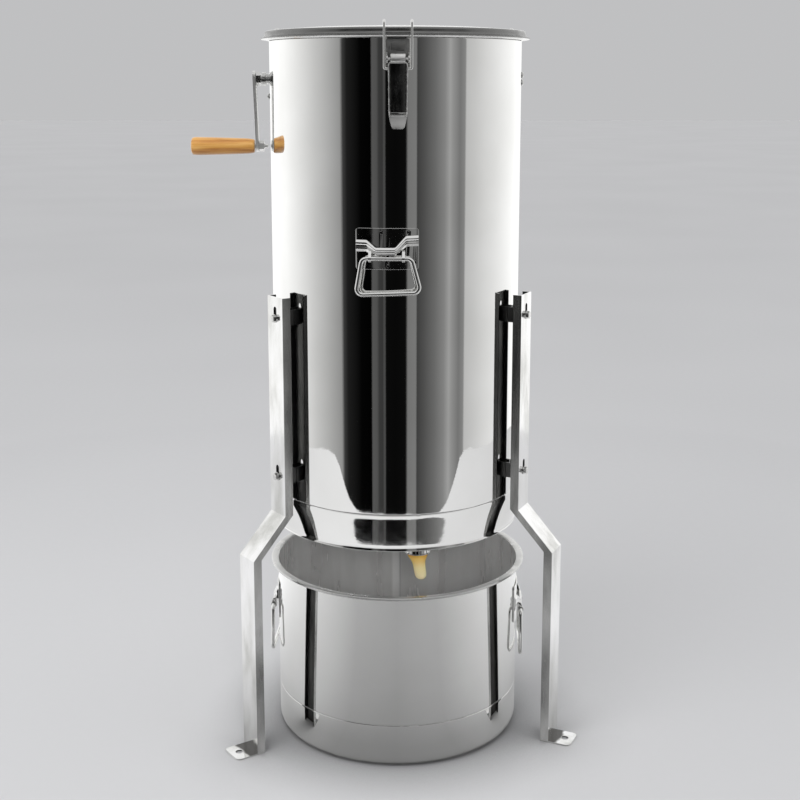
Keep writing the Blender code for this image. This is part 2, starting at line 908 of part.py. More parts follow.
def latch_lever_mesh():
    """A latch lever: a barrel, a trough with two flanges, and a tongue bent outwards."""
    radius, height = LEVER_PIVOT
    barrel = rod(0.0045, -0.0108, 0.0108, "X", (-radius, height), 16)
    neck = box((-0.0106, -0.2084, 1.0860), (0.0106, -0.2064, height))
    stations = ((1.0885, 0.0142), (1.0145, 0.0136))
    rings = []
    for z, half in stations:
        thin = half - 0.0012
        rings.append(
            [
                (-half, -0.2070, z),
                (-half, -0.2165, z),
                (-thin, -0.2165, z),
                (-thin, -0.2084, z),
                (thin, -0.2084, z),
                (thin, -0.2165, z),
                (half, -0.2165, z),
                (half, -0.2070, z),
            ]
        )
    trough = lofted(rings)
    tongue_rings = []
    for z, reach, half in (
        (1.0180, 0.2071, 0.0131),
        (1.0140, 0.2071, 0.0131),
        (0.9975, 0.2118, 0.0110),
        (0.9926, 0.2140, 0.0070),
    ):
        tongue_rings.append(
            [
                (-half, -reach, z),
                (half, -reach, z),
                (half, -reach - 0.0013, z),
                (-half, -reach - 0.0013, z),
            ]
        )
    tongue = lofted(tongue_rings)
    whole = combine(barrel, [neck, trough, tongue], "UNION")
    return moved(whole, Matrix.Translation((0.0, radius, -height)))


def bail_points():
    """A latch bail's centre line, facing -Y, about its own pivot."""
    radius, height = BAIL_PIVOT
    rise = 0.2158
    top = 1.1425
    arch = 0.0040
    half = [(0.0147, -radius, height), (BAIL_HALF, -radius, height)]
    half.append((BAIL_HALF, -rise, top))
    arc = []
    for i in range(1, 4):
        angle = math.pi * i / 4
        arc.append(
            (BAIL_HALF, -rise + arch - arch * math.cos(angle), top + arch * math.sin(angle))
        )
    back = -rise + 2 * arch
    arc += [(BAIL_HALF, back, top), (BAIL_HALF, back, 1.1385)]
    corner = (BAIL_HALF - 0.0015, back, 1.1370)
    right = rounded(half, 0.0020, 2, False) + [Vector(p) for p in arc] + [Vector(corner)]
    left = [Vector((-p.x, p.y, p.z)) for p in reversed(right)]
    return [p - Vector((0.0, -radius, height)) for p in right + left]


def build_latches():
    base = latch_base_mesh()
    lever = latch_lever_mesh()
    path = bail_points()
    for name, azimuth in LATCH_AZIMUTHS.items():
        turn = faced_turn(azimuth)
        place("latch_base_" + name, base.copy(), BRIGHT_STEEL, turn=turn)
        spot = outward(azimuth, *LEVER_PIVOT)
        place("latch_lever_" + name, lever.copy(), BRIGHT_STEEL, spot, turn)
        spot = outward(azimuth, *BAIL_PIVOT)
        wire("latch_bail_" + name, path, BAIL_R, False, BRIGHT_STEEL, spot, turn)


def wall_drop(u):
    """How far the wall falls back from its front line at a sideways distance u."""
    return DRUM_R - math.sqrt(DRUM_R**2 - u**2)


def handle_bracket_mesh():
    """A drop handle's pressed bracket, facing -Y, with the wall at y = 0 and the bar at z = 0.

    Its plate and the ends of its strap follow the wall's curve.
    """
    arc = [-0.047 + 0.094 * i / 8 for i in range(9)]
    outline = [(u, wall_drop(u) - GAP) for u in arc]
    outline += [(u, wall_drop(u) - 0.0018) for u in reversed(arc)]
    plate = prism(outline, -0.017, 0.0445)
    path = (
        (-0.0465, 0.0016, 0.021),
        (-0.030, 0.0016, 0.021),
        (-0.017, 0.0070, 0.0115),
        (0.012, 0.0070, 0.0115),
        (0.028, 0.0016, 0.027),
        (0.0465, 0.0016, 0.027),
    )
    half, thick = 0.0065, 0.0018
    rings = []
    for u, off, z in path:
        off -= wall_drop(u)
        rings.append(
            [
                (u, -off, z - half),
                (u, -off - thick, z - half),
                (u, -off - thick, z + half),
                (u, -off, z + half),
            ]
        )
    strap = lofted(rings)
    lugs = []
    holes = []
    for u in (-HANDLE_LUG_U, HANDLE_LUG_U):
        lugs.append(box((u - 0.0015, -0.0116, -0.0060), (u + 0.0015, -0.0003, 0.0075)))
        hole = rod(
            HANDLE_WIRE + 0.0003, u - 0.004, u + 0.004, "X", (-HANDLE_STANDOFF, 0.0), 16
        )
        holes.append(hole)
    for u, z in ((-0.009, 0.038), (0.031, 0.0385), (0.001, -0.0118), (0.041, -0.0062)):
        holes.append(rod(0.0020, -0.004, 0.008, "Y", (u, z), 10))
    whole = combine(plate, [strap, *lugs], "UNION")
    return combine(whole, holes, "DIFFERENCE")


def loop_points(drop):
    corners = [
        (-HANDLE_TOP_HALF, 0.0, 0.0),
        (HANDLE_TOP_HALF, 0.0, 0.0),
        (HANDLE_LOW_HALF, 0.0, -drop),
        (-HANDLE_LOW_HALF, 0.0, -drop),
    ]
    return rounded(corners, 0.0090, 4, True)


def build_handles():
    bracket = handle_bracket_mesh()
    sets = (
        ("drum", DRUM_HANDLES, DRUM_R, DRUM_HANDLE_Z, DRUM_LOOP_DROP, (0.0, 0.0)),
        (
            "bucket",
            BUCKET_HANDLES,
            BUCKET_R,
            BUCKET_HANDLE_Z,
            BUCKET_LOOP_DROP,
            BUCKET_CENTRE,
        ),
    )
    for owner, azimuths, radius, height, drop, centre in sets:
        for side, azimuth in azimuths.items():
            turn = faced_turn(azimuth)
            spot = outward(azimuth, radius, height, centre)
            name = owner + "_handle_bracket_" + side
            place(name, bracket.copy(), BRIGHT_STEEL, spot, turn)
            spot = outward(azimuth, radius + HANDLE_STANDOFF, height, centre)
            name = owner + "_handle_loop_" + side
            points = loop_points(drop)
            wire(name, points, HANDLE_WIRE, True, BRIGHT_STEEL, spot, turn)


def build_bucket():
    inner = BUCKET_R - SHEET
    body = turned(
        [
            (inner, BUCKET_RIM_Z),
            (BUCKET_RIM_R - 0.0023, BUCKET_RIM_Z),
            (BUCKET_RIM_R - 0.0005, BUCKET_RIM_Z - 0.0008),
            (BUCKET_RIM_R, BUCKET_RIM_Z - 0.0025),
            (BUCKET_RIM_R - 0.0008, BUCKET_RIM_Z - 0.0040),
            (BUCKET_RIM_R - 0.0028, BUCKET_RIM_Z - 0.0045),
            (BUCKET_R, BUCKET_RIM_Z - 0.0040),
            (BUCKET_R, BUCKET_SEAM + GAP),
            (inner, BUCKET_SEAM + GAP),
        ],
        centre=BUCKET_CENTRE,
    )
    place("bucket_body", body, MIRROR_STEEL)
    base = turned(
        [
            (0, 0.0012),
            (0.186, 0.0012),
            (0.1950, 0.0078),
            (inner, 0.0180),
            (inner, BUCKET_SEAM),
            (BUCKET_R, BUCKET_SEAM),
            (BUCKET_R, 0.0180),
            (0.1965, 0.0075),
            (0.1895, 0.0010),
            (0.186, 0.0),
            (0, 0.0),
        ],
        centre=BUCKET_CENTRE,
    )
    place("bucket_base", base, MIRROR_STEEL)


def main():
    clear_scene()
    build_drum()
    build_crossbar()
    build_gears()
    build_basket()
    build_crank()
    build_legs()
    build_lid()
    build_latches()
    build_handles()
    build_bucket()


main()
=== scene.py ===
"""The looks of the honey extractor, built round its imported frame. Metres, +Z up."""

import math

import bmesh
import bpy
from mathutils import Matrix, Vector


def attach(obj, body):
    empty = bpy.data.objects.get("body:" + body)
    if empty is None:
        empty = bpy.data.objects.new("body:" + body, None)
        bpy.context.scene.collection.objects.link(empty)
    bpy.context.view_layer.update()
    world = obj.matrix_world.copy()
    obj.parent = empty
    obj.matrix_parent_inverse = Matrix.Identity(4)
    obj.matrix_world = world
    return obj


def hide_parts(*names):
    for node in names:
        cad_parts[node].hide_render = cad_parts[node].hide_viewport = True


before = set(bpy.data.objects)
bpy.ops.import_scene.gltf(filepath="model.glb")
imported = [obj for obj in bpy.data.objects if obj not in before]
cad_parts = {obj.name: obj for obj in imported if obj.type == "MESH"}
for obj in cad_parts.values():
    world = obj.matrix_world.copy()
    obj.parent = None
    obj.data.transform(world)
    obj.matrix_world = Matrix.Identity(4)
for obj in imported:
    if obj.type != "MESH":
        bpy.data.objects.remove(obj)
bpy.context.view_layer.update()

DRUM_R = 0.200
SHEET = 0.0010
SEAM_Z = 0.405
CRANK_Z = 1.065
ARM_LENGTH = 0.106
BUCKET_CENTRE = (0.003, -0.024)
BUCKET_R = 0.199
BUCKET_SEAM = 0.070
BUCKET_RIM_Z = 0.284
BUCKET_RIM_R = 0.2103
OUTLET = (0.035, -0.130)
PAN_LIP_Z = 0.345
# A lid face further out than the radius and between the heights is on its rim.
LID_RIM_R = 0.2030
LID_RIM_LOW, LID_RIM_HIGH = 1.1262, 1.1380
BUCKET_RIM_DEEP = 0.0067
# A face this little past a wall's inner radius still counts as inside.
SLACK = 0.0002
# Edges sharper than this, in degrees, are shaded sharp or rounded.
SHARP = 32.0
LATCHES = {"front": 271.2, "rear_right": 31.2, "rear_left": 151.2}
LEGS = {"front_left": 215.0, "front_right": 335.0, "rear": 95.0}
ROOT = "drum_and_stand"


# ---------------------------------------------------------------- materials


def linear(level):
    """The linear light of an 8-bit display level."""
    share = level / 255
    if share <= 0.04045:
        return share / 12.92
    return ((share + 0.055) / 1.055) ** 2.4


def greys(stops):
    """Ramp stops from pairs of position and tone."""
    return [(position, (tone, tone, tone)) for position, tone in stops]


class Tree:
    """A node tree with a few short cuts. Each one returns an output."""

    def __init__(self, tree):
        self.tree = tree

    def node(self, kind, **settings):
        made = self.tree.nodes.new(kind)
        for key, value in settings.items():
            setattr(made, key, value)
        return made

    def link(self, source, target):
        self.tree.links.new(source, target)

    def feed(self, values, sockets):
        """Links each output to its socket, and sets a plain value as the default."""
        for value, socket in zip(values, sockets):
            if isinstance(value, bpy.types.NodeSocket):
                self.link(value, socket)
            else:
                socket.default_value = value

    def math(self, operation, *values):
        made = self.node("ShaderNodeMath", operation=operation)
        self.feed(values, made.inputs)
        return made.outputs["Value"]

    def mix(self, factor, first, second, **settings):
        made = self.node("ShaderNodeMix", data_type="RGBA", **settings)
        sockets = [made.inputs[name] for name in ("Factor", "A", "B")]
        self.feed((factor, first, second), sockets)
        return made.outputs["Result"]

    def parts(self, vector):
        """The X, Y and Z of a vector."""
        made = self.node("ShaderNodeSeparateXYZ")
        self.link(vector, made.inputs["Vector"])
        return [made.outputs[axis] for axis in "XYZ"]

    def scaled(self, vector, factor):
        made = self.node("ShaderNodeVectorMath", operation="SCALE")
        self.link(vector, made.inputs[0])
        self.link(factor, made.inputs["Scale"])
        return made.outputs["Vector"]

    def from_front(self, vector):
        """The azimuth from the front, in radians and minus to the left, and the Z."""
        x, y, z = self.parts(vector)
        return self.math("ARCTAN2", x, self.math("MULTIPLY", y, -1.0)), z

    def ranged(self, source, low, high, start=0.3, end=0.7):
        made = self.node("ShaderNodeMapRange")
        made.inputs["From Min"].default_value = start
        made.inputs["From Max"].default_value = end
        made.inputs["To Min"].default_value = low
        made.inputs["To Max"].default_value = high
        self.link(source, made.inputs["Value"])
        return made.outputs["Result"]

    def ramp(self, source, stops):
        made = self.node("ShaderNodeValToRGB")
        elements = made.color_ramp.elements
        while len(elements) < len(stops):
            elements.new(1.0)
        for element, (position, colour) in zip(elements, stops):
            element.position = position
            element.color = (*colour, 1.0)
        self.link(source, made.inputs["Fac"])
        return made.outputs["Color"]


class Shader(Tree):
    """A material's tree, with its Principled shader."""

    def __init__(self, name):
        self.material = bpy.data.materials.new(name)
        self.material.use_nodes = True
        super().__init__(self.material.node_tree)
        self.main = self.tree.nodes["Principled BSDF"]
        self.coordinates = self.node("ShaderNodeTexCoord").outputs["Object"]

    def set(self, **values):
        for key, value in values.items():
            self.main.inputs[key.replace("_", " ")].default_value = value

    def stretched(self, scale):
        mapping = self.node("ShaderNodeMapping")
        mapping.inputs["Scale"].default_value = scale
        self.link(self.coordinates, mapping.inputs["Vector"])
        return mapping.outputs["Vector"]

    def noise(self, scale, detail, stretch=(1, 1, 1), vector=None):
        made = self.node("ShaderNodeTexNoise")
        made.inputs["Scale"].default_value = scale
        made.inputs["Detail"].default_value = detail
        if vector is None:
            vector = self.stretched(stretch)
        self.link(vector, made.inputs["Vector"])
        return made.outputs["Fac"]

    def bump(self, height, strength, distance):
        """Adds a bump on top of those already made."""
        made = self.node("ShaderNodeBump")
        made.inputs["Strength"].default_value = strength
        made.inputs["Distance"].default_value = distance
        self.link(height, made.inputs["Height"])
        normal = self.main.inputs["Normal"]
        if normal.is_linked:
            self.link(normal.links[0].from_socket, made.inputs["Normal"])
        self.link(made.outputs["Normal"], normal)

    def colour(self, output):
        self.link(output, self.main.inputs["Base Color"])

    def rough(self, output):
        self.link(output, self.main.inputs["Roughness"])

    def angle_round(self, centre):
        """The azimuth about an upright axis, in radians, and the height."""
        x, y, z = self.parts(self.coordinates)
        x = self.math("SUBTRACT", x, centre[0])
        y = self.math("SUBTRACT", y, centre[1])
        return self.math("ARCTAN2", y, x), z


def polished_steel(name, tone, rough, wave, grain=(1, 1, 1)):
    s = Shader(name)
    s.set(Metallic=1.0)
    smudge = s.noise(7.0, 4.0)
    bright = (tone, tone, tone * 0.99)
    dimmer = (tone * 0.93, tone * 0.93, tone * 0.915)
    s.colour(s.ramp(smudge, [(0.35, dimmer), (0.65, bright)]))
    s.rough(s.ranged(s.noise(90.0, 5.0, grain), rough * 0.75, rough * 1.5))
    s.bump(s.noise(9.0, 1.0), wave, 0.004)
    s.bump(s.noise(420.0, 3.0, grain), 0.012, 0.0004)
    return s.material


def brushed_steel(name, tone, rough, stretch, streak):
    s = Shader(name)
    s.set(Metallic=1.0)
    lines = s.noise(160.0, 6.0, stretch)
    cloud = s.noise(11.0, 4.0)
    base = (tone, tone, tone * 0.985)
    s.colour(s.ramp(cloud, [(0.3, tuple(c * 0.86 for c in base)), (0.7, base)]))
    s.rough(s.ranged(lines, rough * 0.7, rough * 1.4))
    s.bump(lines, streak, 0.0006)
    return s.material


def radial_brushed(name, centre, tone, rough, metal=1.0):
    """Sheet polished round and round, with upright lines that are partly brushing and
    partly painted highlight.
    """
    s = Shader(name)
    s.set(Metallic=metal)
    angle, height = s.angle_round(centre)
    join = s.node("ShaderNodeCombineXYZ")
    s.link(s.math("MULTIPLY", angle, 3.0), join.inputs["X"])
    s.link(s.math("MULTIPLY", height, 2.6), join.inputs["Y"])
    brushing_and_highlights = s.noise(2.2, 3.0, vector=join.outputs["Vector"])
    low = (tone * 0.88, tone * 0.87, tone * 0.86)
    high = (tone, tone, tone * 0.99)
    # The lightest stop, near white, is a painted highlight; the lower stops are the
    # brushing.
    sheet = s.ramp(brushing_and_highlights, [(0.34, low), (0.58, high), (0.66, (0.97, 0.97, 0.96))])
    # The wall's upright weld, at the back: a thin dark line beside a bright strip.
    past = s.math("SUBTRACT", angle, math.radians(90))
    tones = [(0.0, 0.80), (0.34, 0.80), (0.38, 0.58), (0.42, 0.80)]
    tones += [(0.46, 1.0), (0.70, 1.0), (0.80, 0.80)]
    weld = s.ramp(s.ranged(past, 0.0, 1.0, -0.10, 0.10), greys(tones))
    s.colour(s.mix(1.0, sheet, weld, blend_type="MULTIPLY"))
    s.rough(s.ranged(brushing_and_highlights, rough * 1.3, rough * 0.7))
    fine = s.noise(300.0, 4.0, (1, 1, 0.06))
    s.bump(fine, 0.012, 0.0006)
    s.bump(s.noise(9.0, 2.0), 0.45, 0.006)
    return s.material


def cast_iron(name):
    s = Shader(name)
    s.set(Metallic=0.85)
    grain = s.noise(260.0, 6.0)
    s.colour(s.ramp(grain, [(0.3, (0.035, 0.034, 0.033)), (0.7, (0.10, 0.098, 0.095))]))
    s.rough(s.ranged(grain, 0.38, 0.62))
    s.bump(grain, 0.35, 0.0005)
    return s.material


def brass(name):
    s = Shader(name)
    s.set(Metallic=1.0)
    rings = s.noise(220.0, 4.0, (0.1, 0.1, 3.0))
    s.colour(s.ramp(rings, [(0.3, (0.55, 0.38, 0.15)), (0.7, (0.80, 0.60, 0.29))]))
    s.rough(s.ranged(rings, 0.22, 0.36))
    s.bump(rings, 0.10, 0.0004)
    return s.material


def leg_steel(name, azimuth):
    """Worn sheet, bright outside, with painted shade on a channel's inner faces and a
    painted dark reflection low on the leg.
    """
    s = Shader(name)
    s.set(Metallic=1.0)
    turn = math.radians(azimuth)
    out = (math.cos(turn), math.sin(turn), 0.0)
    side = (-math.sin(turn), math.cos(turn), 0.0)

    def along(source, direction):
        made = s.node("ShaderNodeVectorMath", operation="DOT_PRODUCT")
        made.inputs[1].default_value = direction
        s.link(source, made.inputs[0])
        return made.outputs["Value"]

    normal = s.node("ShaderNodeTexCoord").outputs["Normal"]
    which = s.math("SIGN", along(s.coordinates, side))
    sideways = s.math("MULTIPLY", which, along(normal, side))
    inward = s.math("MINIMUM", along(normal, out), sideways)
    # Painted shade: faces turned into the channel are coloured near black as if shaded,
    # and made rougher.
    dimmer = s.math("LESS_THAN", inward, -0.5)
    edge = s.math("GREATER_THAN", sideways, 0.6)
    worn = s.noise(26.0, 6.0, (1, 1, 0.35))
    fine = s.noise(240.0, 5.0, (1, 1, 0.05))
    tones = [(0.32, (0.60, 0.60, 0.58)), (0.48, (0.80, 0.80, 0.79)), (0.6, (0.88,) * 3)]
    outside = s.ramp(worn, tones)
    inside = s.ramp(worn, [(0.3, (0.07, 0.07, 0.07)), (0.7, (0.17, 0.17, 0.165))])
    greyer = s.ramp(worn, [(0.3, (0.20, 0.20, 0.195)), (0.6, (0.42, 0.42, 0.41))])
    lighter = s.ramp(worn, [(0.3, (0.38, 0.38, 0.375)), (0.6, (0.78, 0.78, 0.77))])
    height = along(s.coordinates, (0.0, 0.0, 1.0))
    # A channel's lips are lighter low down.
    lip = s.mix(s.ranged(height, 1.0, 0.0, 0.22, 0.32), greyer, lighter)
    sheet = s.mix(edge, s.mix(dimmer, outside, inside), lip)
    # Painted dark reflection: the foot plate's top is coloured near black where it is
    # bent out of the leg.
    top = s.math("GREATER_THAN", along(normal, (0.0, 0.0, 1.0)), 0.7)
    foot = s.math("MULTIPLY", top, s.math("LESS_THAN", height, 0.004))
    spread = s.math("ADD", along(s.coordinates, out), s.math("MULTIPLY", worn, 0.020))
    foot = s.math("MULTIPLY", foot, s.ranged(spread, 1.0, 0.0, 0.307, 0.312))
    s.colour(s.mix(foot, sheet, (0.09, 0.088, 0.085, 1.0)))
    rough = s.math("ADD", s.ranged(fine, 0.05, 0.16), s.math("MULTIPLY", dimmer, 0.26))
    rough = s.math("ADD", rough, s.math("MULTIPLY", edge, 0.10))
    s.rough(s.math("ADD", rough, s.ranged(worn, 0.07, 0.0, 0.3, 0.5)))
    s.bump(s.noise(12.0, 2.0), 0.05, 0.004)
    s.bump(fine, 0.03, 0.0005)
    return s.material


def turned_wood(name):
    s = Shader(name)
    along = s.stretched((1.6, 30.0, 30.0))
    bands = s.noise(4.6, 4.0, vector=along)
    fine = s.noise(520.0, 5.0, (0.035, 1, 1))
    broad = s.math("MULTIPLY", bands, 0.75)
    mixed = s.math("ADD", broad, s.math("MULTIPLY", fine, 0.25))
    s.colour(
        s.ramp(
            mixed,
            [
                (0.34, (0.24, 0.085, 0.014)),
                (0.43, (0.47, 0.200, 0.036)),
                (0.55, (0.62, 0.315, 0.074)),
                (0.68, (0.76, 0.450, 0.150)),
            ],
        )
    )
    s.rough(s.ranged(fine, 0.26, 0.42))
    s.set(Coat_Weight=0.35, Coat_Roughness=0.12, Specular_IOR_Level=0.45)
    s.set(Sheen_Weight=0.7, Sheen_Roughness=0.30, Sheen_Tint=(1.0, 0.93, 0.80, 1.0))
    s.bump(fine, 0.12, 0.0004)
    return s.material


def honey(name):
    s = Shader(name)
    _, _, z = s.parts(s.coordinates)
    height = s.ranged(z, 0.0, 1.0, 0.2765, 0.3215)
    swirl = s.math("MULTIPLY", s.noise(60.0, 2.0), 0.16)
    mixed = s.math("SUBTRACT", s.math("ADD", height, swirl), 0.08)
    s.colour(
        s.ramp(
            mixed,
            [
                (0.05, (0.97, 0.86, 0.56)),
                (0.50, (0.95, 0.80, 0.42)),
                (0.85, (0.90, 0.60, 0.17)),
                (1.00, (0.70, 0.34, 0.06)),
            ],
        )
    )
    s.set(Roughness=0.08, IOR=1.49, Transmission_Weight=0.08, Coat_Weight=0.3)
    s.set(Subsurface_Weight=0.35, Subsurface_Scale=0.006)
    s.bump(s.noise(90.0, 1.0), 0.05, 0.001)
    return s.material


# ---------------------------------------------------------------- mesh tools


def linked(name, data):
    obj = bpy.data.objects.new(name, data)
    bpy.context.scene.collection.objects.link(obj)
    return obj


def mesh_of(bm, name):
    """The bmesh as a mesh, with its faces turned outward."""
    bmesh.ops.recalc_face_normals(bm, faces=bm.faces)
    mesh = bpy.data.meshes.new(name)
    bm.to_mesh(mesh)
    bm.free()
    return mesh


def finish_mesh(bm, name, materials, body, angle=SHARP, sharp=True):
    """The piece itself: smooth, with its materials, riding on a body."""
    mesh = mesh_of(bm, name)
    mesh.shade_smooth()
    if sharp:
        mesh.set_sharp_from_angle(angle=math.radians(angle))
    for material in materials:
        mesh.materials.append(material)
    obj = linked(name, mesh)
    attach(obj, body)
    return obj


def lofted(rings, closed):
    """A skin over rings of points. A ring of one point is a tip."""
    bm = bmesh.new()
    made = [[bm.verts.new(point) for point in ring] for ring in rings]
    pairs = list(zip(made, made[1:]))
    if closed:
        pairs.append((made[-1], made[0]))
    for low, high in pairs:
        count = max(len(low), len(high))
        for i in range(count):
            j = (i + 1) % count
            if len(low) == 1:
                bm.faces.new((low[0], high[i], high[j]))
            elif len(high) == 1:
                bm.faces.new((low[i], low[j], high[0]))
            else:
                bm.faces.new((low[i], low[j], high[j], high[i]))
    if not closed:
        for end in (made[0], made[-1]):
            if len(end) > 2:
                bm.faces.new(end)
    return bm


def turned(profile, segments=256, centre=(0.0, 0.0), axis="Z"):
    """A solid of revolution through (radius, height) points."""
    rings = []
    for radius, height in profile:
        ring = []
        for i in range(segments if radius > 0 else 1):
            angle = math.tau * i / segments
            across = centre[0] + radius * math.cos(angle)
            along = centre[1] + radius * math.sin(angle)
            ring.append(
                (across, along, height) if axis == "Z" else (height, across, along)
            )
        rings.append(ring)
    on_axis = profile[0][0] == 0 and profile[-1][0] == 0
    return lofted(rings, closed=not on_axis)


def rod(radius, low, high, segments, centre=(0.0, 0.0), axis="Z"):
    outline = [(0, low), (radius, low), (radius, high), (0, high)]
    return turned(outline, segments, centre, axis)


def arc(centre, radius, start, end, steps):
    """Points of an arc in (radius, height), with angles in degrees."""
    out = []
    for i in range(steps + 1):
        angle = math.radians(start + (end - start) * i / steps)
        out.append(
            (centre[0] + radius * math.cos(angle), centre[1] + radius * math.sin(angle))
        )
    return out


def tube(path, radius, sides, closed=False):
    """A round wire along a path of points, with its frame carried along."""
    count = len(path)
    points = [Vector(p) for p in path]
    tangents = []
    for i in range(count):
        if closed:
            step = points[(i + 1) % count] - points[i - 1]
        else:
            step = points[min(i + 1, count - 1)] - points[max(i - 1, 0)]
        tangents.append(step.normalized())
    side = tangents[0].orthogonal().normalized()
    rings = []
    for i, (point, tangent) in enumerate(zip(points, tangents)):
        side = (side - tangent * side.dot(tangent)).normalized()
        up = tangent.cross(side)
        ring = []
        for k in range(sides):
            angle = math.tau * k / sides
            ring.append(
                point + (side * math.cos(angle) + up * math.sin(angle)) * radius
            )
        rings.append(ring)
    return lofted(rings, closed)


def rounded(points, radius, steps, closed):
    """The polyline through points with each corner replaced by an arc."""
    count = len(points)
    out = []
    for i, corner in enumerate(points):
        corner = Vector(corner)
        if not closed and i in (0, count - 1):
            out.append(corner)
            continue
        before = (Vector(points[i - 1]) - corner).normalized()
        after = (Vector(points[(i + 1) % count]) - corner).normalized()
        half = before.angle(after) / 2
        reach = radius / math.tan(half)
        centre = corner + (before + after).normalized() * radius / math.sin(half)
        first = corner + before * reach - centre
        last = corner + after * reach - centre
        sweep = first.angle(last)
        for k in range(steps + 1):
            share = k / steps
            out.append(
                centre
                + first * math.sin((1 - share) * sweep) / math.sin(sweep)
                + last * math.sin(share * sweep) / math.sin(sweep)
            )
    return out


def outward(azimuth, radius, height, centre=(0.0, 0.0)):
    """The point at this azimuth and distance from an upright axis."""
    angle = math.radians(azimuth)
    x = centre[0] + radius * math.cos(angle)
    y = centre[1] + radius * math.sin(angle)
    return Vector((x, y, height))


def facing(azimuth, location):
    """The place of a piece made facing -Y, turned to this azimuth."""
    return Matrix.Translation(location) @ Matrix.Rotation(
        math.radians(azimuth + 90), 4, "Z"
    )


def place_mesh(bm, azimuth, location):
    bm.transform(facing(azimuth, location))
    return bm


def dress(node, material, bevel=0.0, segments=2):
    """A CAD node that stays gets a material, and a small bevel on its edges."""
    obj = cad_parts[node]
    if not obj.material_slots:
        obj.data.materials.append(material)
    for slot in obj.material_slots:
        slot.material = material
    if bevel:
        edge = obj.modifiers.new("edge", "BEVEL")
        edge.width = bevel
        edge.segments = segments
        edge.limit_method = "ANGLE"
        edge.angle_limit = math.radians(40)
        edge.harden_normals = False
    return obj


MIRROR = polished_steel("mirror_sheet", tone=0.86, rough=0.018, wave=0.010)
MIRROR_BUCKET = polished_steel("bucket_sheet", tone=0.86, rough=0.030, wave=0.012)
LID_STEEL = polished_steel("lid_sheet", tone=0.66, rough=0.11, wave=0.02)
INSIDE = radial_brushed("drum_inside", (0.0, 0.0), 0.72, 0.22)
BUCKET_INSIDE = radial_brushed("bucket_inside", BUCKET_CENTRE, 0.97, 0.24, 0.40)
PRESSED = polished_steel("pressed_steel", tone=0.85, rough=0.08, wave=0.02)
WIRE = polished_steel("drawn_wire", 0.84, 0.07, 0.01, grain=(0.3, 0.3, 1))
BOLT = brushed_steel("bolt_steel", 0.70, 0.24, (1, 1, 1), 0.15)
DULL = brushed_steel("dull_steel", 0.16, 0.38, (1, 1, 0.2), 0.15)
ARM = brushed_steel("arm_steel", 0.96, 0.50, (1, 1, 0.06), 0.08)
SATIN_BRIGHT = brushed_steel("edge_steel", 0.95, 0.42, (1, 1, 1), 0.06)
SATIN = brushed_steel("satin_steel", 0.60, 0.26, (1, 1, 0.05), 0.12)
CAGE = brushed_steel("cage_steel", 0.62, 0.24, (1, 1, 0.04), 0.14)
# Painted dark reflection: the lid's rim band is coloured near black for the dark it
# mirrors.
LID_RIM_DARK = brushed_steel("lid_rim_painted_dark", 0.22, 0.28, (0.3, 0.3, 1), 0.12)
BUCKET_RIM = brushed_steel("bucket_rim_steel", 0.66, 0.30, (0.3, 0.3, 1), 0.08)
MOUNT = polished_steel("mount_steel", tone=0.86, rough=0.07, wave=0.45)
# Painted shade: near black, for the discs set into the brackets' holes.
HOLE_SHADE = brushed_steel("hole_painted_shade", 0.05, 0.5, (1, 1, 1), 0.2)
PAN = polished_steel("pan_sheet", tone=0.86, rough=0.030, wave=0.075)
PLATE = brushed_steel("latch_plate_steel", 0.40, 0.42, (1, 1, 1), 0.35)
# Painted shade: the lever's trough floor is coloured dark, as if in shade.
TROUGH_SHADE = brushed_steel("latch_trough_painted_shade", 0.20, 0.22, (1, 1, 0.3), 0.10)
TONGUE = brushed_steel("latch_tongue_steel", 0.72, 0.38, (1, 1, 0.3), 0.08)
IRON = cast_iron("cast_iron")
BRASS = brass("turned_brass")
WOOD = turned_wood("turned_wood")
HONEY = honey("honey")


# ---------------------------------------------------------------- drum


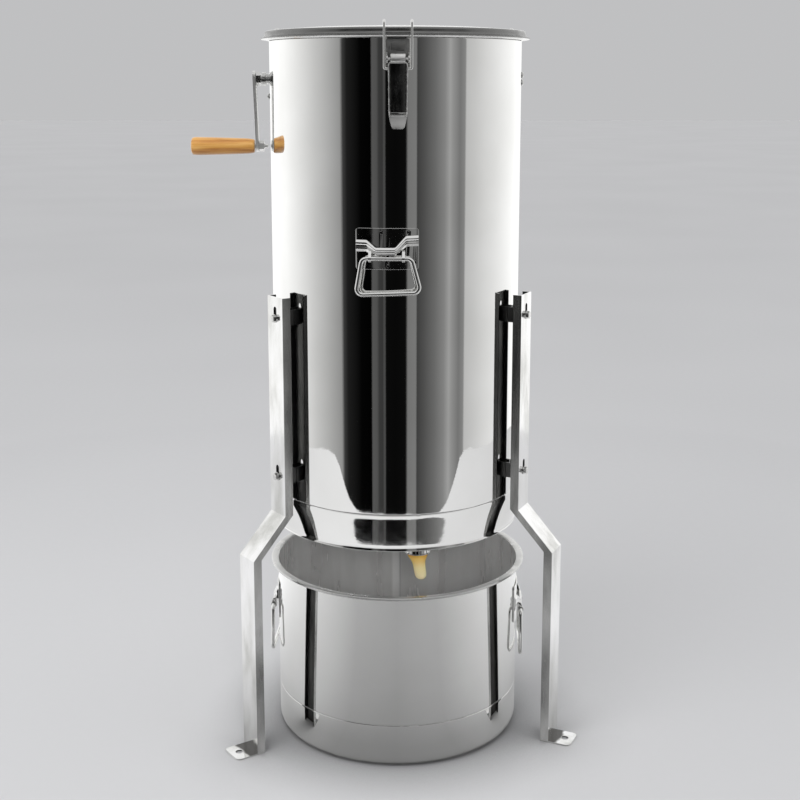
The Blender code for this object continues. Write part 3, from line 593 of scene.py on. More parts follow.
def build_drum():
    inner = DRUM_R - SHEET
    wall = turned(
        [(DRUM_R, 1.1150), (DRUM_R, 1.1205)]
        + arc((DRUM_R - 0.0005, 1.1230), 0.0005, 0, 180, 6)
        + [(inner, 1.1205), (inner, 0.4068), (inner, SEAM_Z + 0.0003)]
        + [(DRUM_R - 0.0005, SEAM_Z + 0.0003), (DRUM_R - 0.0002, SEAM_Z + 0.0005)]
        + [(DRUM_R, SEAM_Z + 0.0010), (DRUM_R, SEAM_Z + 0.0016), (DRUM_R, 0.4120)]
    )
    obj = finish_mesh(wall, "drum_wall_sheet", [MIRROR, INSIDE], ROOT)
    inside_faces(obj, inner + SLACK, (0.0, 0.0))
    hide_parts("drum_wall")

    profile = [(0, 0.3714), (0.032, 0.3714), (0.130, 0.3567), (0.180, 0.3572)]
    profile += [(0.1905, 0.3604), (0.1962, 0.3650), (inner, 0.3720), (inner, 0.4030)]
    profile += [(inner, SEAM_Z - 0.0002), (DRUM_R - 0.0007, SEAM_Z - 0.0002)]
    profile += [(0.1996, SEAM_Z - 0.0004), (0.1995, 0.4040), (0.19945, 0.4025)]
    profile += [(0.19950, 0.3960)]
    profile += [(0.19960, 0.3900), (0.19978, 0.3800), (0.20000, 0.3710)]
    profile += [(0.20022, 0.3630), (0.20040, 0.3570), (0.20056, 0.3520)]
    profile += arc((0.1995, 0.3478), 0.0012, 35, -90, 10)
    profile += [(0.1985, PAN_LIP_Z + 0.0012), (0.1982, 0.3530), (0.1975, 0.3580)]
    profile += [(0.1905, 0.3588), (0.180, 0.3558), (0.130, 0.3554), (0.032, 0.3702)]
    profile += [(0, 0.3702)]
    pan = finish_mesh(turned(profile), "drum_pan_sheet", [PAN, INSIDE], ROOT)
    inside_faces(pan, inner + SLACK, (0.0, 0.0))
    cut_hole(pan, 0.0166, 0.33, 0.39, OUTLET)
    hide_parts("drum_pan")

    spout = [(0.0192, 0.3549), (0.0192, 0.3250)]
    spout += arc((0.0193, 0.3228), 0.0012, 80, -90, 8)
    spout += [(0.0176, 0.3216), (0.0168, 0.3224), (0.0168, 0.3549)]
    obj = finish_mesh(turned(spout, 96, OUTLET), "outlet_tube", [PRESSED], ROOT)
    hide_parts("outlet_spout")

    weld_bead("drum_seam_weld", outward(280.2, DRUM_R, SEAM_Z - 0.0004), 0.0030)
    weld_bead("bucket_seam_weld", bucket_point(272.0, BUCKET_SEAM - 0.0006), 0.0016)


def bucket_point(azimuth, height):
    return outward(azimuth, BUCKET_R, height, BUCKET_CENTRE)


def inside_faces(obj, limit, centre):
    """Gives the second material to faces within a radius of an upright axis."""
    for face in obj.data.polygons:
        x = face.center.x - centre[0]
        y = face.center.y - centre[1]
        if math.hypot(x, y) < limit:
            face.material_index = 1


def cut_mesh(obj, tools):
    """The object's mesh with closed bmeshes cut out of it."""
    made = [linked("tool", mesh_of(bm, "tool")) for bm in tools]
    for tool in made:
        step = obj.modifiers.new("cut", "BOOLEAN")
        step.operation = "DIFFERENCE"
        step.object = tool
    graph = bpy.context.evaluated_depsgraph_get()
    mesh = bpy.data.meshes.new_from_object(obj.evaluated_get(graph))
    for tool in made:
        bpy.data.objects.remove(tool)
    return mesh


def cut_hole(obj, radius, low, high, centre):
    """Drills an upright round hole through a piece."""
    cut = cut_mesh(obj, [rod(radius, low, high, 64, centre)])
    obj.modifiers.clear()
    obj.data = cut
    cut.name = obj.name


def weld_bead(name, place, size):
    """A small uneven lump of weld where a seam's run starts and stops."""
    body = "bucket" if name.startswith("bucket") else ROOT
    bm = bmesh.new()
    bmesh.ops.create_icosphere(bm, subdivisions=4, radius=1.0)
    for vert in bm.verts:
        v = vert.co
        ripple = 0.16 * math.sin(6.0 * v.x + 1.3) * math.cos(5.0 * v.z)
        v.x *= size * (1.25 + ripple)
        v.y *= size * 0.34 * (1.0 + ripple)
        v.z *= size * (0.62 + ripple)
    bmesh.ops.translate(bm, verts=bm.verts, vec=place)
    finish_mesh(bm, name, [PRESSED], body, sharp=False)


# ---------------------------------------------------------------- lid


def build_lid():
    profile = [(0, 1.1450), (0.060, 1.14485), (0.120, 1.1438), (0.160, 1.1420)]
    profile += [(0.190, 1.1396), (0.1960, 1.1392), (0.2010, 1.1388)]
    profile += arc((0.2028, 1.1345), 0.0042, 72, 6, 8)
    profile += [(0.2072, 1.1325), (0.2075, 1.1308), (0.2084, 1.1294)]
    profile += [(0.2098, 1.1285), (0.2112, 1.1282)]
    profile += arc((0.2116, 1.1271), 0.0012, 70, -90, 8)
    profile += [(0.2100, 1.1260), (0.2030, 1.1259), (0.2024, 1.1245)]
    profile += [(0.2018, 1.1240), (0.1977, 1.1240), (0.1974, 1.1230)]
    profile += [(0.1972, 1.1125), (0.1968, 1.1121), (0.1960, 1.1121)]
    profile += [(0.1956, 1.1125), (0.1956, 1.1370), (0.190, 1.1384)]
    profile += [(0.120, 1.1427), (0, 1.1439)]
    lid = finish_mesh(turned(profile, 288), "lid_sheet", [LID_STEEL, LID_RIM_DARK], "lid_body")
    # The rim faces take the near-black painted dark reflection.
    for face in lid.data.polygons:
        out = face.center.xy.length > LID_RIM_R
        if out and LID_RIM_LOW < face.center.z < LID_RIM_HIGH:
            face.material_index = 1
    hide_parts("lid")


# ---------------------------------------------------------------- bucket


def build_bucket():
    inner = BUCKET_R - SHEET
    top = BUCKET_RIM_Z
    body = [(inner, top - 0.0060), (inner + 0.0004, top - 0.0024)]
    body += [(inner + 0.0018, top - 0.0007), (inner + 0.0035, top)]
    body += [(BUCKET_RIM_R - 0.0030, top)]
    body += arc((BUCKET_RIM_R - 0.0022, top - 0.0022), 0.0022, 75, -100, 12)
    body += [(BUCKET_RIM_R - 0.0060, top - 0.0040), (BUCKET_R + 0.0026, top - 0.0036)]
    body += [(BUCKET_R + 0.0008, top - 0.0044), (BUCKET_R, top - 0.0066)]
    body += [(BUCKET_R, 0.0760), (BUCKET_R, BUCKET_SEAM + 0.0016)]
    body += [(BUCKET_R, BUCKET_SEAM + 0.0009)]
    body += [(BUCKET_R - 0.0003, BUCKET_SEAM + 0.0004)]
    body += [(inner, BUCKET_SEAM + 0.0004), (inner, 0.0760)]
    obj = finish_mesh(
        turned(body, 256, BUCKET_CENTRE),
        "bucket_wall_sheet",
        [MIRROR_BUCKET, BUCKET_INSIDE, BUCKET_RIM],
        "bucket",
    )
    for face in obj.data.polygons:
        if face.center.z > top - BUCKET_RIM_DEEP:
            face.material_index = 2
    inside_faces(obj, inner + SLACK, BUCKET_CENTRE)
    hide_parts("bucket_body")

    base = [(0, 0.0012), (0.180, 0.0012), (0.1870, 0.0020), (0.1925, 0.0048)]
    base += [(0.1962, 0.0100), (inner, 0.0180), (inner, 0.0660)]
    base += [(inner, BUCKET_SEAM), (BUCKET_R - 0.0004, BUCKET_SEAM)]
    base += [(BUCKET_R - 0.0001, BUCKET_SEAM - 0.0005)]
    base += [(BUCKET_R, BUCKET_SEAM - 0.0010)]
    base += [(BUCKET_R, BUCKET_SEAM - 0.0018), (BUCKET_R, 0.0660)]
    base += [(BUCKET_R, 0.0190), (0.1987, 0.0135), (0.1972, 0.0088)]
    base += [(0.1938, 0.0040), (0.1900, 0.0014), (0.1860, 0.0001), (0.180, 0.0)]
    base += [(0, 0.0)]
    obj = finish_mesh(
        turned(base, 256, BUCKET_CENTRE),
        "bucket_base_sheet",
        [MIRROR_BUCKET, BUCKET_INSIDE],
        "bucket",
    )
    for face in obj.data.polygons:
        out = face.center.xy - Vector(BUCKET_CENTRE)
        up = face.normal.z > 0.2 and face.center.z > 0.0006
        if out.length < inner + SLACK and (up or face.normal.xy.dot(out) < 0):
            face.material_index = 1
    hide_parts("bucket_base")


# ---------------------------------------------------------------- wires and handles

HANDLE_WIRE = 0.0033
HANDLE_STANDOFF = 0.0072
BAIL_WIRE = 0.00175
AXIS = (0.0, 0.0)
# Azimuth, wall radius, hinge height, drop, wall centre, body, and tilt in degrees.
HANDLES = {
    "drum_handle_loop_front": (
        266.6, DRUM_R, 0.8027, 0.0527, AXIS, "drum_loop_front", -2.2
    ),
    "drum_handle_loop_rear": (
        86.6, DRUM_R, 0.8027, 0.0527, AXIS, "drum_loop_rear", 1.2
    ),
    "bucket_handle_loop_left": (
        177.0, BUCKET_R, 0.197, 0.070, BUCKET_CENTRE, "bucket_loop_left", 1.0
    ),
    "bucket_handle_loop_right": (
        357.0, BUCKET_R, 0.197, 0.070, BUCKET_CENTRE, "bucket_loop_right", -1.0
    ),
}


def build_loops():
    for node, (azimuth, radius, height, drop, centre, body, tilt) in HANDLES.items():
        # The bar stays on the hinge line; the rest of the loop hangs a little askew.
        slack = Matrix.Rotation(math.radians(tilt), 3, "Y")
        corners = [(-0.0368, 0, 0), (0.0368, 0, 0)]
        corners += [slack @ Vector((u, 0, -drop)) for u in (0.0487, -0.0487)]
        path = rounded(corners, 0.0090, 10, True)
        place = outward(azimuth, radius + HANDLE_STANDOFF, height, centre)
        bm = place_mesh(tube(path, HANDLE_WIRE, 24, True), azimuth, place)
        loop = finish_mesh(bm, node.replace("loop", "bail"), [WIRE], body, sharp=False)
        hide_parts(node)


def build_bails():
    """The latches' wires: up from the lever, over the lid's rim and down behind it."""
    radius, height = 0.2150, 1.0785
    rise, top, reach, half = 0.2158, 1.1425, 0.0040, 0.020
    start = [(0.0147, -radius, height), (half, -radius, height), (half, -rise, top)]
    right = rounded(start, 0.0020, 5, False)
    for i in range(1, 12):
        angle = math.pi * i / 12
        along = -rise + reach - reach * math.cos(angle)
        right.append(Vector((half, along, top + reach * math.sin(angle))))
    back = -rise + 2 * reach
    right.append(Vector((half, back, top)))
    tail = [(half, back, 1.1400), (half, back, 1.1370), (0, back, 1.1370)]
    right += rounded(tail, 0.0015, 5, False)[1:-1]
    left = [Vector((-p.x, p.y, p.z)) for p in reversed(right)]
    pivot = Vector((0.0, -radius, height))
    path = [p - pivot for p in right + left]
    for side, azimuth in LATCHES.items():
        place = outward(azimuth, radius, height)
        bm = place_mesh(tube(path, BAIL_WIRE, 16), azimuth, place)
        bail = finish_mesh(bm, "latch_wire_" + side, [WIRE], "bail_" + side)
        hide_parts("latch_bail_" + side)


# ---------------------------------------------------------------- latches and brackets


def extruded(outline, low, high, axis):
    """An outline carried along X, as (y, z) points, or along Y, as (x, z) points."""
    if axis == "X":
        return lofted([[(at, a, b) for a, b in outline] for at in (low, high)], False)
    return lofted([[(a, at, b) for a, b in outline] for at in (low, high)], False)


def merged(parts):
    """One bmesh from several, each part with its own material number."""
    out = bmesh.new()
    for bm, material in parts:
        mesh = mesh_of(bm, "part")
        start = len(out.faces)
        out.from_mesh(mesh)
        bpy.data.meshes.remove(mesh)
        out.faces.ensure_lookup_table()
        for face in out.faces[start:]:
            face.material_index = material
    return out


def softened(bm, width):
    """Rounds the sharp edges of a bmesh."""
    bmesh.ops.recalc_face_normals(bm, faces=bm.faces)
    sharp = [
        edge
        for edge in bm.edges
        if len(edge.link_faces) == 2 and edge.calc_face_angle() > math.radians(SHARP)
    ]
    bmesh.ops.bevel(
        bm,
        geom=sharp,
        offset=width,
        segments=2,
        profile=0.5,
        affect="EDGES",
        clamp_overlap=True,
    )
    return bm


def round_rect(x0, z0, x1, z1, radius):
    """The outline of a rectangle with round corners, as (x, z) points."""
    out = []
    corners = ((x1, z1, 0), (x0, z1, 90), (x0, z0, 180), (x1, z0, 270))
    for x, z, start in corners:
        cx = x - radius if start in (0, 270) else x + radius
        cz = z - radius if start in (0, 90) else z + radius
        out += arc((cx, cz), radius, start, start + 90, 5)
    return out


def punched(bm, tools):
    """The bmesh with other closed bmeshes cut out of it."""
    work = linked("work", mesh_of(bm, "work"))
    mesh = cut_mesh(work, tools)
    bpy.data.objects.remove(work)
    out = bmesh.new()
    out.from_mesh(mesh)
    bpy.data.meshes.remove(mesh)
    return out


LEVER_R, LEVER_Z = 0.2095, 1.0925


def build_latch_bases():
    for side, azimuth in LATCHES.items():
        outline = round_rect(-0.017, 1.080, 0.017, 1.1215, 0.0022)
        plate = extruded(outline, -DRUM_R - 0.0018, -0.2003, "Y")
        outline = round_rect(-0.0105, 1.1040, 0.0105, 1.1180, 0.003)
        dish = extruded(outline, -0.2024, -0.2010, "Y")
        parts = [(softened(plate, 0.0003), 0), (softened(dish, 0.0005), 0)]
        for hand in (-1, 1):
            ear = [(-0.2011, 1.0845), (-0.2011, 1.1030), (-0.2050, 1.1020)]
            ear += arc((-LEVER_R, LEVER_Z), 0.0062, 70, 255, 10)
            inner, outer = sorted((hand * 0.0150, hand * 0.0166))
            parts.append((softened(extruded(ear, inner, outer, "X"), 0.0004), 1))
            start, end = sorted((hand * 0.0113, hand * 0.0175))
            parts.append((rod(0.0020, start, end, 24, (-LEVER_R, LEVER_Z), "X"), 1))
        bm = place_mesh(merged(parts), azimuth, (0, 0, 0))
        name = "latch_base_" + side
        piece = finish_mesh(bm, "latch_plate_" + side, [PLATE, PRESSED], ROOT)
        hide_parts(name)


def build_latch_levers():
    """A rolled knuckle, a trough with bright turned edges and a floor darkened as
    painted shade, and a thumb tongue.
    """
    for side, azimuth in LATCHES.items():
        knuckle = [(-0.2062, 1.0890), (-0.2062, 1.0965)]
        knuckle += arc((-0.2095, 1.0966), 0.0036, 40, 150, 8)
        knuckle += [(-0.2139, 1.0940), (-0.2143, 1.0915)]
        knuckle += arc((-0.2105, 1.0906), 0.0036, 180, 290, 8)
        parts = [(softened(extruded(knuckle, -0.0108, 0.0108, "X"), 0.0004), 2)]
        # This band under the knuckle also takes the dark painted shade.
        outline = round_rect(-0.0106, 1.0850, 0.0106, 1.0900, 0.0006)
        parts.append((extruded(outline, -0.2084, -0.2064, "Y"), 1))
        parts.append((rod(0.0009, -0.0128, 0.0128, 20, (-0.2118, 1.0868), "X"), 0))
        for hand in (-1, 1):
            rings = []
            for z, half, deep in (
                (1.0872, 0.0132, 0.2128),
                (1.0855, 0.0142, 0.2158),
                (1.0830, 0.0144, 0.2165),
                (1.0600, 0.0141, 0.2165),
                (1.0300, 0.0138, 0.2165),
                (1.0170, 0.0136, 0.2160),
                (1.0130, 0.0135, 0.2128),
                (1.0105, 0.0131, 0.2096),
            ):
                inner = half - 0.0018
                section = [(half, -0.2072), (half, 0.0008 - deep)]
                section += [(half - 0.0004, -deep), (inner + 0.0004, -deep)]
                section += [(inner, 0.0008 - deep), (inner, -0.2072)]
                rings.append([(hand * u, y, z) for u, y in section])
            parts.append((lofted(rings, False), 2))
        # The trough's floor takes the dark painted shade.
        floor_rings = []
        for z, half, deep in (
            (1.0878, 0.0124, 0.2078),
            (1.0600, 0.0125, 0.2087),
            (1.0300, 0.0122, 0.2089),
            (1.0145, 0.0120, 0.2084),
        ):
            ring = []
            for share in (i / 4 - 1 for i in range(9)):
                ring.append((half * share, -deep - 0.0006 * (1 - share**2), z))
            ring += [(half, -deep + 0.0012, z), (-half, -deep + 0.0012, z)]
            floor_rings.append(ring)
        parts.append((lofted(floor_rings, False), 1))
        outline = round_rect(-0.0130, 1.0136, 0.0130, 1.0162, 0.0008)
        strip = extruded(outline, -0.2112, -0.2072, "Y")
        parts.append((softened(strip, 0.0004), 0))
        tongue = []
        for z, reach, half in (
            (1.0124, 0.2078, 0.0132),
            (1.0100, 0.2083, 0.0130),
            (1.0040, 0.2100, 0.0119),
            (0.9990, 0.2116, 0.0107),
            (0.9960, 0.2126, 0.0098),
            (0.9940, 0.2133, 0.0086),
            (0.9930, 0.2137, 0.0072),
            (0.9926, 0.2139, 0.0058),
        ):
            tongue.append(
                [(-half, -reach, z), (half, -reach, z)]
                + [(half, -reach - 0.0012, z), (-half, -reach - 0.0012, z)]
            )
        parts.append((softened(lofted(tongue, False), 0.0003), 3))
        bm = place_mesh(merged(parts), azimuth, (0, 0, 0))
        looks = [PRESSED, TROUGH_SHADE, SATIN_BRIGHT, TONGUE]
        piece = finish_mesh(bm, "latch_arm_" + side, looks, "lever_" + side)
        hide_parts("latch_lever_" + side)


BRACKETS = {
    "drum_handle_bracket_front": ("drum_handle_loop_front", ROOT),
    "drum_handle_bracket_rear": ("drum_handle_loop_rear", ROOT),
    "bucket_handle_bracket_left": ("bucket_handle_loop_left", "bucket"),
    "bucket_handle_bracket_right": ("bucket_handle_loop_right", "bucket"),
}


def wrapped(bm, radius):
    """Cuts a shape made flat against y = 0 into strips, and bends it round the wall."""
    cuts, apart = 11, 0.004
    for i in range(-cuts, cuts + 1):
        everything = bm.verts[:] + bm.edges[:] + bm.faces[:]
        place = (apart * i, 0, 0)
        bmesh.ops.bisect_plane(bm, geom=everything, plane_co=place, plane_no=(1, 0, 0))
    for vert in bm.verts:
        vert.co.y += radius - math.sqrt(radius**2 - vert.co.x**2)
    return bm


def bracket_strap():
    """The pressed strap. It stands off in the middle for the bar, with two ridges."""
    # Along the strap, off the plate, and height.
    path = [(-0.0465, 0.0016, 0.0185), (-0.0310, 0.0016, 0.0185)]
    path += [(-0.0165, 0.0068, 0.0100), (0.0125, 0.0068, 0.0100)]
    path += [(0.0285, 0.0016, 0.0255), (0.0465, 0.0016, 0.0262)]
    halves = (0.0088, 0.0086, 0.0062, 0.0062, 0.0078, 0.0080)
    thick, ridge_high, crown_high, rounding = 0.0014, 0.0011, 0.0012, 1e-9
    smooth = rounded([(u, z, 0) for u, _, z in path], 0.0055, 5, False)
    rings = []
    for point in smooth:
        u = point.x
        spans = zip(path, path[1:], halves, halves[1:])
        for (u0, off0, _), (u1, off1, _), h0, h1 in spans:
            if u <= u1 + rounding:
                share = max(0.0, (u - u0) / (u1 - u0))
                ease = share * share * (3 - 2 * share)
                off = off0 + (off1 - off0) * ease
                half = h0 + (h1 - h0) * ease
                break
        ring = []
        for k in range(21):
            place = k / 10 - 1
            ridge = ridge_high * math.sin(math.pi * place) ** 2
            crown = crown_high * (1 - place**2)
            ring.append((u, -off - thick - ridge - crown, point.y + half * place))
        ring += [(u, -off, point.y + half), (u, -off, point.y - half)]
        rings.append(ring)
    return lofted(rings, False)


HOLE_PLACES = ((-0.009, 0.038), (0.031, 0.0385), (0.001, -0.0118), (0.041, -0.0062))
RIVET_HOLE_R = 0.0020
CIRCLE = [math.tau * i / 24 for i in range(24)]


def build_brackets():
    """A plate with a dark disc of painted shade in each hole, the strap, and two lugs
    whose eyes hold the handle's bar.
    """
    for name, (loop, body) in BRACKETS.items():
        azimuth, radius, height, _, centre, *_ = HANDLES[loop]
        outline = round_rect(-0.0470, -0.0170, 0.0470, 0.0445, 0.0040)
        plate = extruded(outline, -0.0018, -0.0003, "Y")
        tools = []
        hole_shades = []
        quarter = Matrix.Rotation(math.radians(90), 4, "X")
        for u, z in HOLE_PLACES:
            ring = [
                (u + RIVET_HOLE_R * math.cos(a), z + RIVET_HOLE_R * math.sin(a))
                for a in CIRCLE
            ]
            tools.append(extruded(ring, -0.01, 0.01, "Y"))
            # Painted shade: a near-black disc set back in each hole, standing for the
            # dark inside it.
            hole_shade = rod(0.0019, -0.0004, 0.0006, 20)
            hole_shade.transform(Matrix.Translation((u, -0.0008, z)) @ quarter)
            hole_shades.append((wrapped(hole_shade, radius), 2))
        parts = [(wrapped(softened(punched(plate, tools), 0.0003), radius), 0), *hole_shades]
        parts.append((wrapped(bracket_strap(), radius), 1))
        for u in (-0.025, 0.025):
            hinge = (-HANDLE_STANDOFF, 0.0)
            hold = arc(hinge, 0.0053, 140, 360, 14)
            hold += [(-0.0019, 0.0100), (-0.0030, 0.0120), (-0.0080, 0.0110)]
            lug = extruded(hold, u - 0.0022, u + 0.0022, "X")
            eye = extruded(arc(hinge, 0.0035, 0, 345, 20), u - 0.01, u + 0.01, "X")
            parts.append((softened(punched(lug, [eye]), 0.0003), 1))
        place = outward(azimuth, radius, height, centre)
        bm = place_mesh(merged(parts), azimuth, place)
        looks = [MOUNT, PRESSED, HOLE_SHADE]
        piece = finish_mesh(bm, name.replace("bracket", "mount"), looks, body)
        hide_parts(name)


# ---------------------------------------------------------------- crank


def build_grip():
    """The turned wooden grip, with a recess at its outer end for the bolt's head."""
    low = CRANK_Z - ARM_LENGTH
    out, inn = -0.328, -0.2262
    profile = [(0.0036, out + 0.0058), (0.0070, out + 0.0058), (0.0070, out + 0.0006)]
    profile += [(0.0076, out)]
    profile += [(0.0108, out + 0.0002), (0.0128, out + 0.0012), (0.0139, out + 0.0032)]
    profile += [(0.01445, out + 0.0062), (0.0145, out + 0.0100), (0.0144, out + 0.0180)]
    profile += [(0.0142, out + 0.0280), (0.0139, out + 0.0400), (0.0135, out + 0.0530)]
    profile += [(0.0131, out + 0.0660), (0.0128, out + 0.0760), (0.0125, out + 0.0850)]
    profile += [(0.0123, out + 0.0900), (0.0119, inn - 0.0080), (0.0113, inn - 0.0035)]
    profile += [(0.0106, inn - 0.0010), (0.0094, inn), (0.0036, inn)]
    wood = turned(profile, 64, (0.0, low), "X")
    grip = finish_mesh(wood, "grip_wood", [WOOD], "grip", 50)
    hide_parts("crank_grip")


# ---------------------------------------------------------------- honey


def build_honey():
    """Honey at the outlet: a lump at the lip that narrows to a round-ended tongue."""
    x, y = OUTLET
    # Height, half width, half depth, shift to the right, and shift to the front.
    stations = [
        (0.3270, 0.0162, 0.0155, 0.000, 0.000),
        (0.3215, 0.0164, 0.0150, 0.000, 0.000),
        (0.3185, 0.0166, 0.0125, 0.0003, 0.002),
        (0.3150, 0.0150, 0.0100, 0.0006, 0.004),
        (0.3110, 0.0122, 0.0080, 0.0012, 0.005),
        (0.3060, 0.0105, 0.0068, 0.0022, 0.005),
        (0.3000, 0.0099, 0.0062, 0.0032, 0.005),
        (0.2930, 0.0098, 0.0060, 0.0042, 0.005),
        (0.2870, 0.0097, 0.0060, 0.0050, 0.005),
        (0.2830, 0.0090, 0.0056, 0.0054, 0.005),
        (0.2800, 0.0074, 0.0047, 0.0057, 0.005),
        (0.2782, 0.0050, 0.0033, 0.0059, 0.005),
        (0.2775, 0.0022, 0.0015, 0.0060, 0.005),
    ]
    sides = 40
    rings = []
    for z, half, deep, shift, front in stations:
        ring = []
        for i in range(sides):
            angle = math.tau * i / sides
            across = x + shift + half * math.cos(angle)
            ring.append((across, y - front + deep * math.sin(angle), z))
        rings.append(ring)
    rings.append([(x + 0.0060, y - 0.005, 0.2773)])
    drip = finish_mesh(lofted(rings, False), "honey_drip", [HONEY], ROOT, sharp=False)
    smooth = drip.modifiers.new("round", "SUBSURF")
    smooth.levels = 1
    smooth.render_levels = 1


# ---------------------------------------------------------------- carried-over nodes


def dress_nodes():
    for side, azimuth in LEGS.items():
        dress("leg_" + side, leg_steel("leg_sheet_" + side, azimuth), 0.0009, 3)
        for level in ("upper", "lower"):
            dress("leg_bracket_%s_%s" % (side, level), DULL, 0.0006)
            dress("leg_bolt_%s_%s" % (side, level), BOLT, 0.0004)
    for name in ("left", "right_upper", "right_lower"):
        dress("crossbar_bolt_" + name, BOLT, 0.0004)
    dress("crossbar", SATIN, 0.0006)
    dress("wall_bearing", BOLT, 0.0005)
    dress("shaft_pillow", IRON, 0.0010, 3)
    dress("top_bearing", BRASS, 0.0005)
    dress("pivot_cup", BRASS, 0.0005)
    dress("basket_shaft", SATIN, 0.0004)
    dress("pinion_gear", IRON, 0.0004)
    dress("drive_gear", IRON, 0.0005)
    dress("basket_top_spider", SATIN, 0.0006)
    dress("basket_bottom_spider", SATIN, 0.0006)
    dress("frame_cage_front", CAGE)
    dress("frame_cage_rear", CAGE)
    dress("crank_shaft", SATIN, 0.0004)
    dress("crank_arm", ARM, 0.0008, 3)
    dress("crank_lock_nut", BOLT, 0.0006)
    dress("grip_bolt", ARM, 0.0004)
    dress("grip_nut", ARM, 0.0006)


# ---------------------------------------------------------------- studio

# What polished steel sees all round, as (azimuth from the front, display level), with
# minus to the left. Bright panels stand at the sides and dark ones behind the camera.
PANELS_LEFT = [
    (-180, 236), (-142, 252), (-119, 246), (-104, 231), (-89, 210), (-77, 190),
    (-66, 173), (-56, 154), (-50.5, 142), (-48, 58), (-44, 28), (-36, 16),
    (-31, 4), (-21.6, 2), (-20.9, 82), (-16.6, 78), (-14.6, 54), (-11.2, 52),
    (-10.4, 72), (-9.2, 70), (-8.4, 10), (0, 8),
]
PANELS_RIGHT = [
    (0, 8), (9.6, 11), (11.3, 112), (18.8, 117), (19.5, 60), (26, 76),
    (36, 101), (45, 126), (50.0, 152), (53, 138), (60, 113), (65.2, 128),
    (66.5, 180), (76, 190), (88, 205), (102, 218), (119, 234), (142, 252),
    (180, 236),
]


def build_world():
    world = bpy.data.worlds.new("studio")
    bpy.context.scene.world = world
    world.use_nodes = True
    world.node_tree.nodes.clear()
    t = Tree(world.node_tree)
    azimuth, up = t.from_front(t.node("ShaderNodeTexCoord").outputs["Generated"])
    turn = t.math("DIVIDE", azimuth, math.pi)
    left = t.math("ADD", turn, 1.0)
    sides = []
    for panels, share in ((PANELS_LEFT, left), (PANELS_RIGHT, turn)):
        stops = []
        for angle, level in panels:
            # Polished sheet gives back about this share of the light that falls on it.
            light = linear(level) / 0.80
            stops.append(((angle - panels[0][0]) / 180, (light, light, light * 0.995)))
        sides.append(t.ramp(share, stops))
    around = t.mix(t.math("GREATER_THAN", azimuth, 0.0), *sides)

    # The ceiling is one large soft panel.
    overhead = t.ranged(up, 0.0, 1.0, 0.35, 0.62)
    room = t.mix(overhead, around, (0.80, 0.80, 0.80, 1.0))

    # Dull surfaces get an even light, and the camera sees a plain backdrop.
    path = t.node("ShaderNodeLightPath").outputs
    room = t.mix(path["Is Diffuse Ray"], room, (0.88, 0.88, 0.89, 1.0))
    room = t.mix(path["Is Camera Ray"], room, (0.525, 0.527, 0.535, 1.0))

    background = t.node("ShaderNodeBackground")
    t.link(room, background.inputs["Color"])
    output = t.node("ShaderNodeOutputWorld")
    t.link(background.outputs["Background"], output.inputs["Surface"])


def floor_material():
    s = Shader("studio_floor")
    cloud = s.noise(0.8, 1.0)
    pale = s.ramp(cloud, [(0.3, (0.565, 0.567, 0.575)), (0.7, (0.585, 0.587, 0.595))])
    # Polished sheet throws light back under itself, so the contact shade is made here.
    open_sky = s.node("ShaderNodeAmbientOcclusion", samples=8)
    open_sky.inputs["Distance"].default_value = 0.14
    darkest = 0.45
    share = s.ranged(open_sky.outputs["AO"], darkest, 1.0, darkest, 1.0)
    s.colour(s.scaled(pale, share))
    s.rough(s.ranged(s.noise(60.0, 3.0), 0.60, 0.75))
    s.set(Specular_IOR_Level=0.1)
    return s.material


def seen_floor_material():
    """The floor as polished metal shows it, with painted light and shade: lighter to
    the sides and far out, and darker close in.
    """
    s = Shader("studio_floor_in_metal")
    azimuth, _ = s.from_front(s.coordinates)
    share = s.math("DIVIDE", s.math("ABSOLUTE", azimuth), math.pi)
    tones = [(0, 0.37), (0.17, 0.43), (0.28, 0.58), (0.40, 0.72), (0.55, 0.84)]
    near = s.ramp(share, greys([*tones, (0.75, 0.98)]))
    apart = s.node("ShaderNodeVectorMath", operation="LENGTH")
    s.link(s.coordinates, apart.inputs[0])
    far = s.ranged(apart.outputs["Value"], 0.0, 1.0, 0.95, 1.30)
    # Painted shade: the floor is darker close to the object, as if shaded by it.
    under = s.ranged(apart.outputs["Value"], 0.62, 1.0, 0.28, 0.60)
    s.colour(s.scaled(s.mix(far, near, (0.76, 0.76, 0.76, 1.0)), under))
    s.rough(s.ranged(s.noise(60.0, 3.0), 0.8, 0.9))
    s.set(Specular_IOR_Level=0.0)
    return s.material


def sheet_object(name, corners, material):
    bm = bmesh.new()
    bm.faces.new([bm.verts.new(point) for point in corners])
    mesh = bpy.data.meshes.new(name)
    bm.to_mesh(mesh)
    bm.free()
    mesh.materials.append(material)
    obj = linked(name, mesh)
    return obj


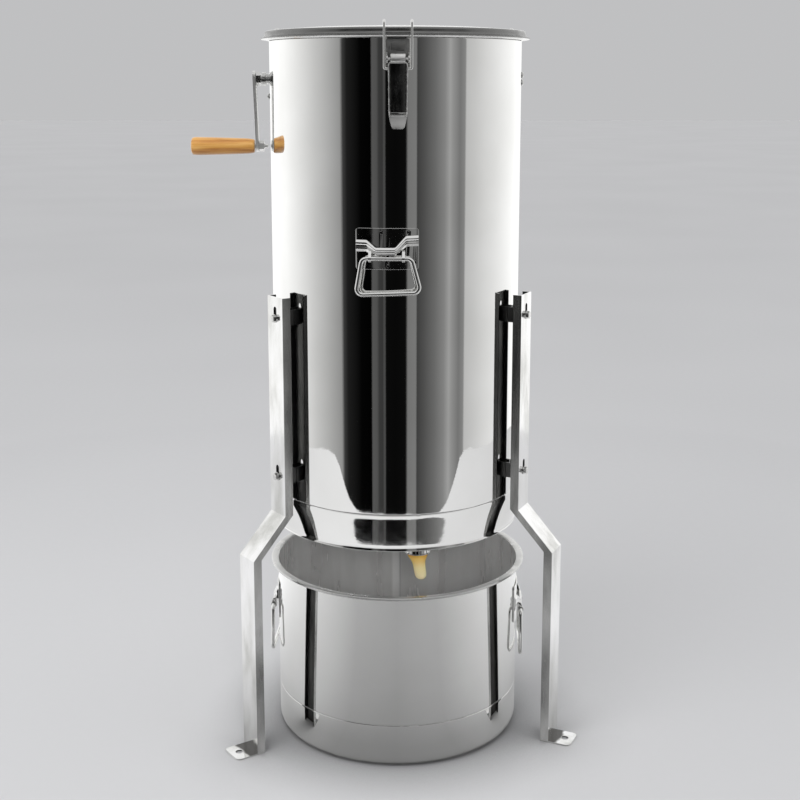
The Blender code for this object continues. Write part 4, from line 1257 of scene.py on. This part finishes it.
def soft_light(name, size, energy, place, target, spread=math.pi):
    light = bpy.data.lights.new(name, "AREA")
    light.shape = "DISK"
    light.size = size
    light.energy = energy
    light.spread = spread
    obj = linked(name, light)
    obj.location = place
    aim = Vector(target) - Vector(place)
    obj.rotation_euler = aim.to_track_quat("-Z", "Y").to_euler()
    obj.visible_glossy = False


def build_studio():
    far = 40.0
    ground = [(-far, -far, 0), (far, -far, 0), (far, far, 0), (-far, far, 0)]
    floor = sheet_object("studio_floor", ground, floor_material())
    floor.visible_glossy = False
    # Polished metal sees a floor of ordinary studio size, with its front edge rounded.
    sides = [(1.86, -0.66), (1.95, -0.14), (1.97, 0.60), (1.80, 1.00), (1.46, 1.44)]
    sides += [(1.03, 1.78), (0.53, 1.98)]
    left = [(0.30, -1.40), (0.55, -1.32), (0.80, -1.20), (1.00, -1.16), (1.40, -1.16)]
    left += [(1.58, -1.10), (1.74, -0.92), *sides]
    right = [(0.30, -1.40), (0.52, -1.31), (0.76, -1.16), (1.05, -1.05), (1.40, -1.00)]
    right += [(1.62, -0.97), (1.76, -0.86), *sides]
    level = 0.0004
    outline = [(-x, y, level) for x, y in reversed(left)]
    outline += [(x, y, level) for x, y in [(0, -1.42), *right, (0, 2.05)]]
    seen = sheet_object("studio_floor_seen_in_metal", outline, seen_floor_material())
    seen.visible_camera = False
    seen.visible_diffuse = False
    seen.visible_shadow = False

    soft_light("soft_key", 2.2, 42.0, (-0.9, -1.5, 3.0), (0.0, 0.0, 0.4))
    # The fill reaches the inside of the bucket between its rim and the drum.
    beam = math.radians(30)
    soft_light("front_fill", 0.3, 0.34, (0.12, -2.1, 1.045), (0.0, 0.10, 0.20), beam)


def build_camera():
    data = bpy.data.cameras.new("camera")
    data.lens = 59.67
    data.sensor_width = 36.0
    data.shift_y = -0.1
    data.clip_end = 100.0
    camera = linked("camera", data)
    camera.location = (0.0073, -2.1511, 1.0538)
    camera.rotation_euler = (math.radians(80.0), 0.0, 0.0)
    bpy.context.scene.camera = camera


build_drum()
build_lid()
build_bucket()
build_loops()
build_bails()
build_latch_bases()
build_latch_levers()
build_brackets()
build_grip()
build_honey()
dress_nodes()
build_world()
build_studio()
build_camera()
bpy.context.scene.view_settings.view_transform = "Standard"
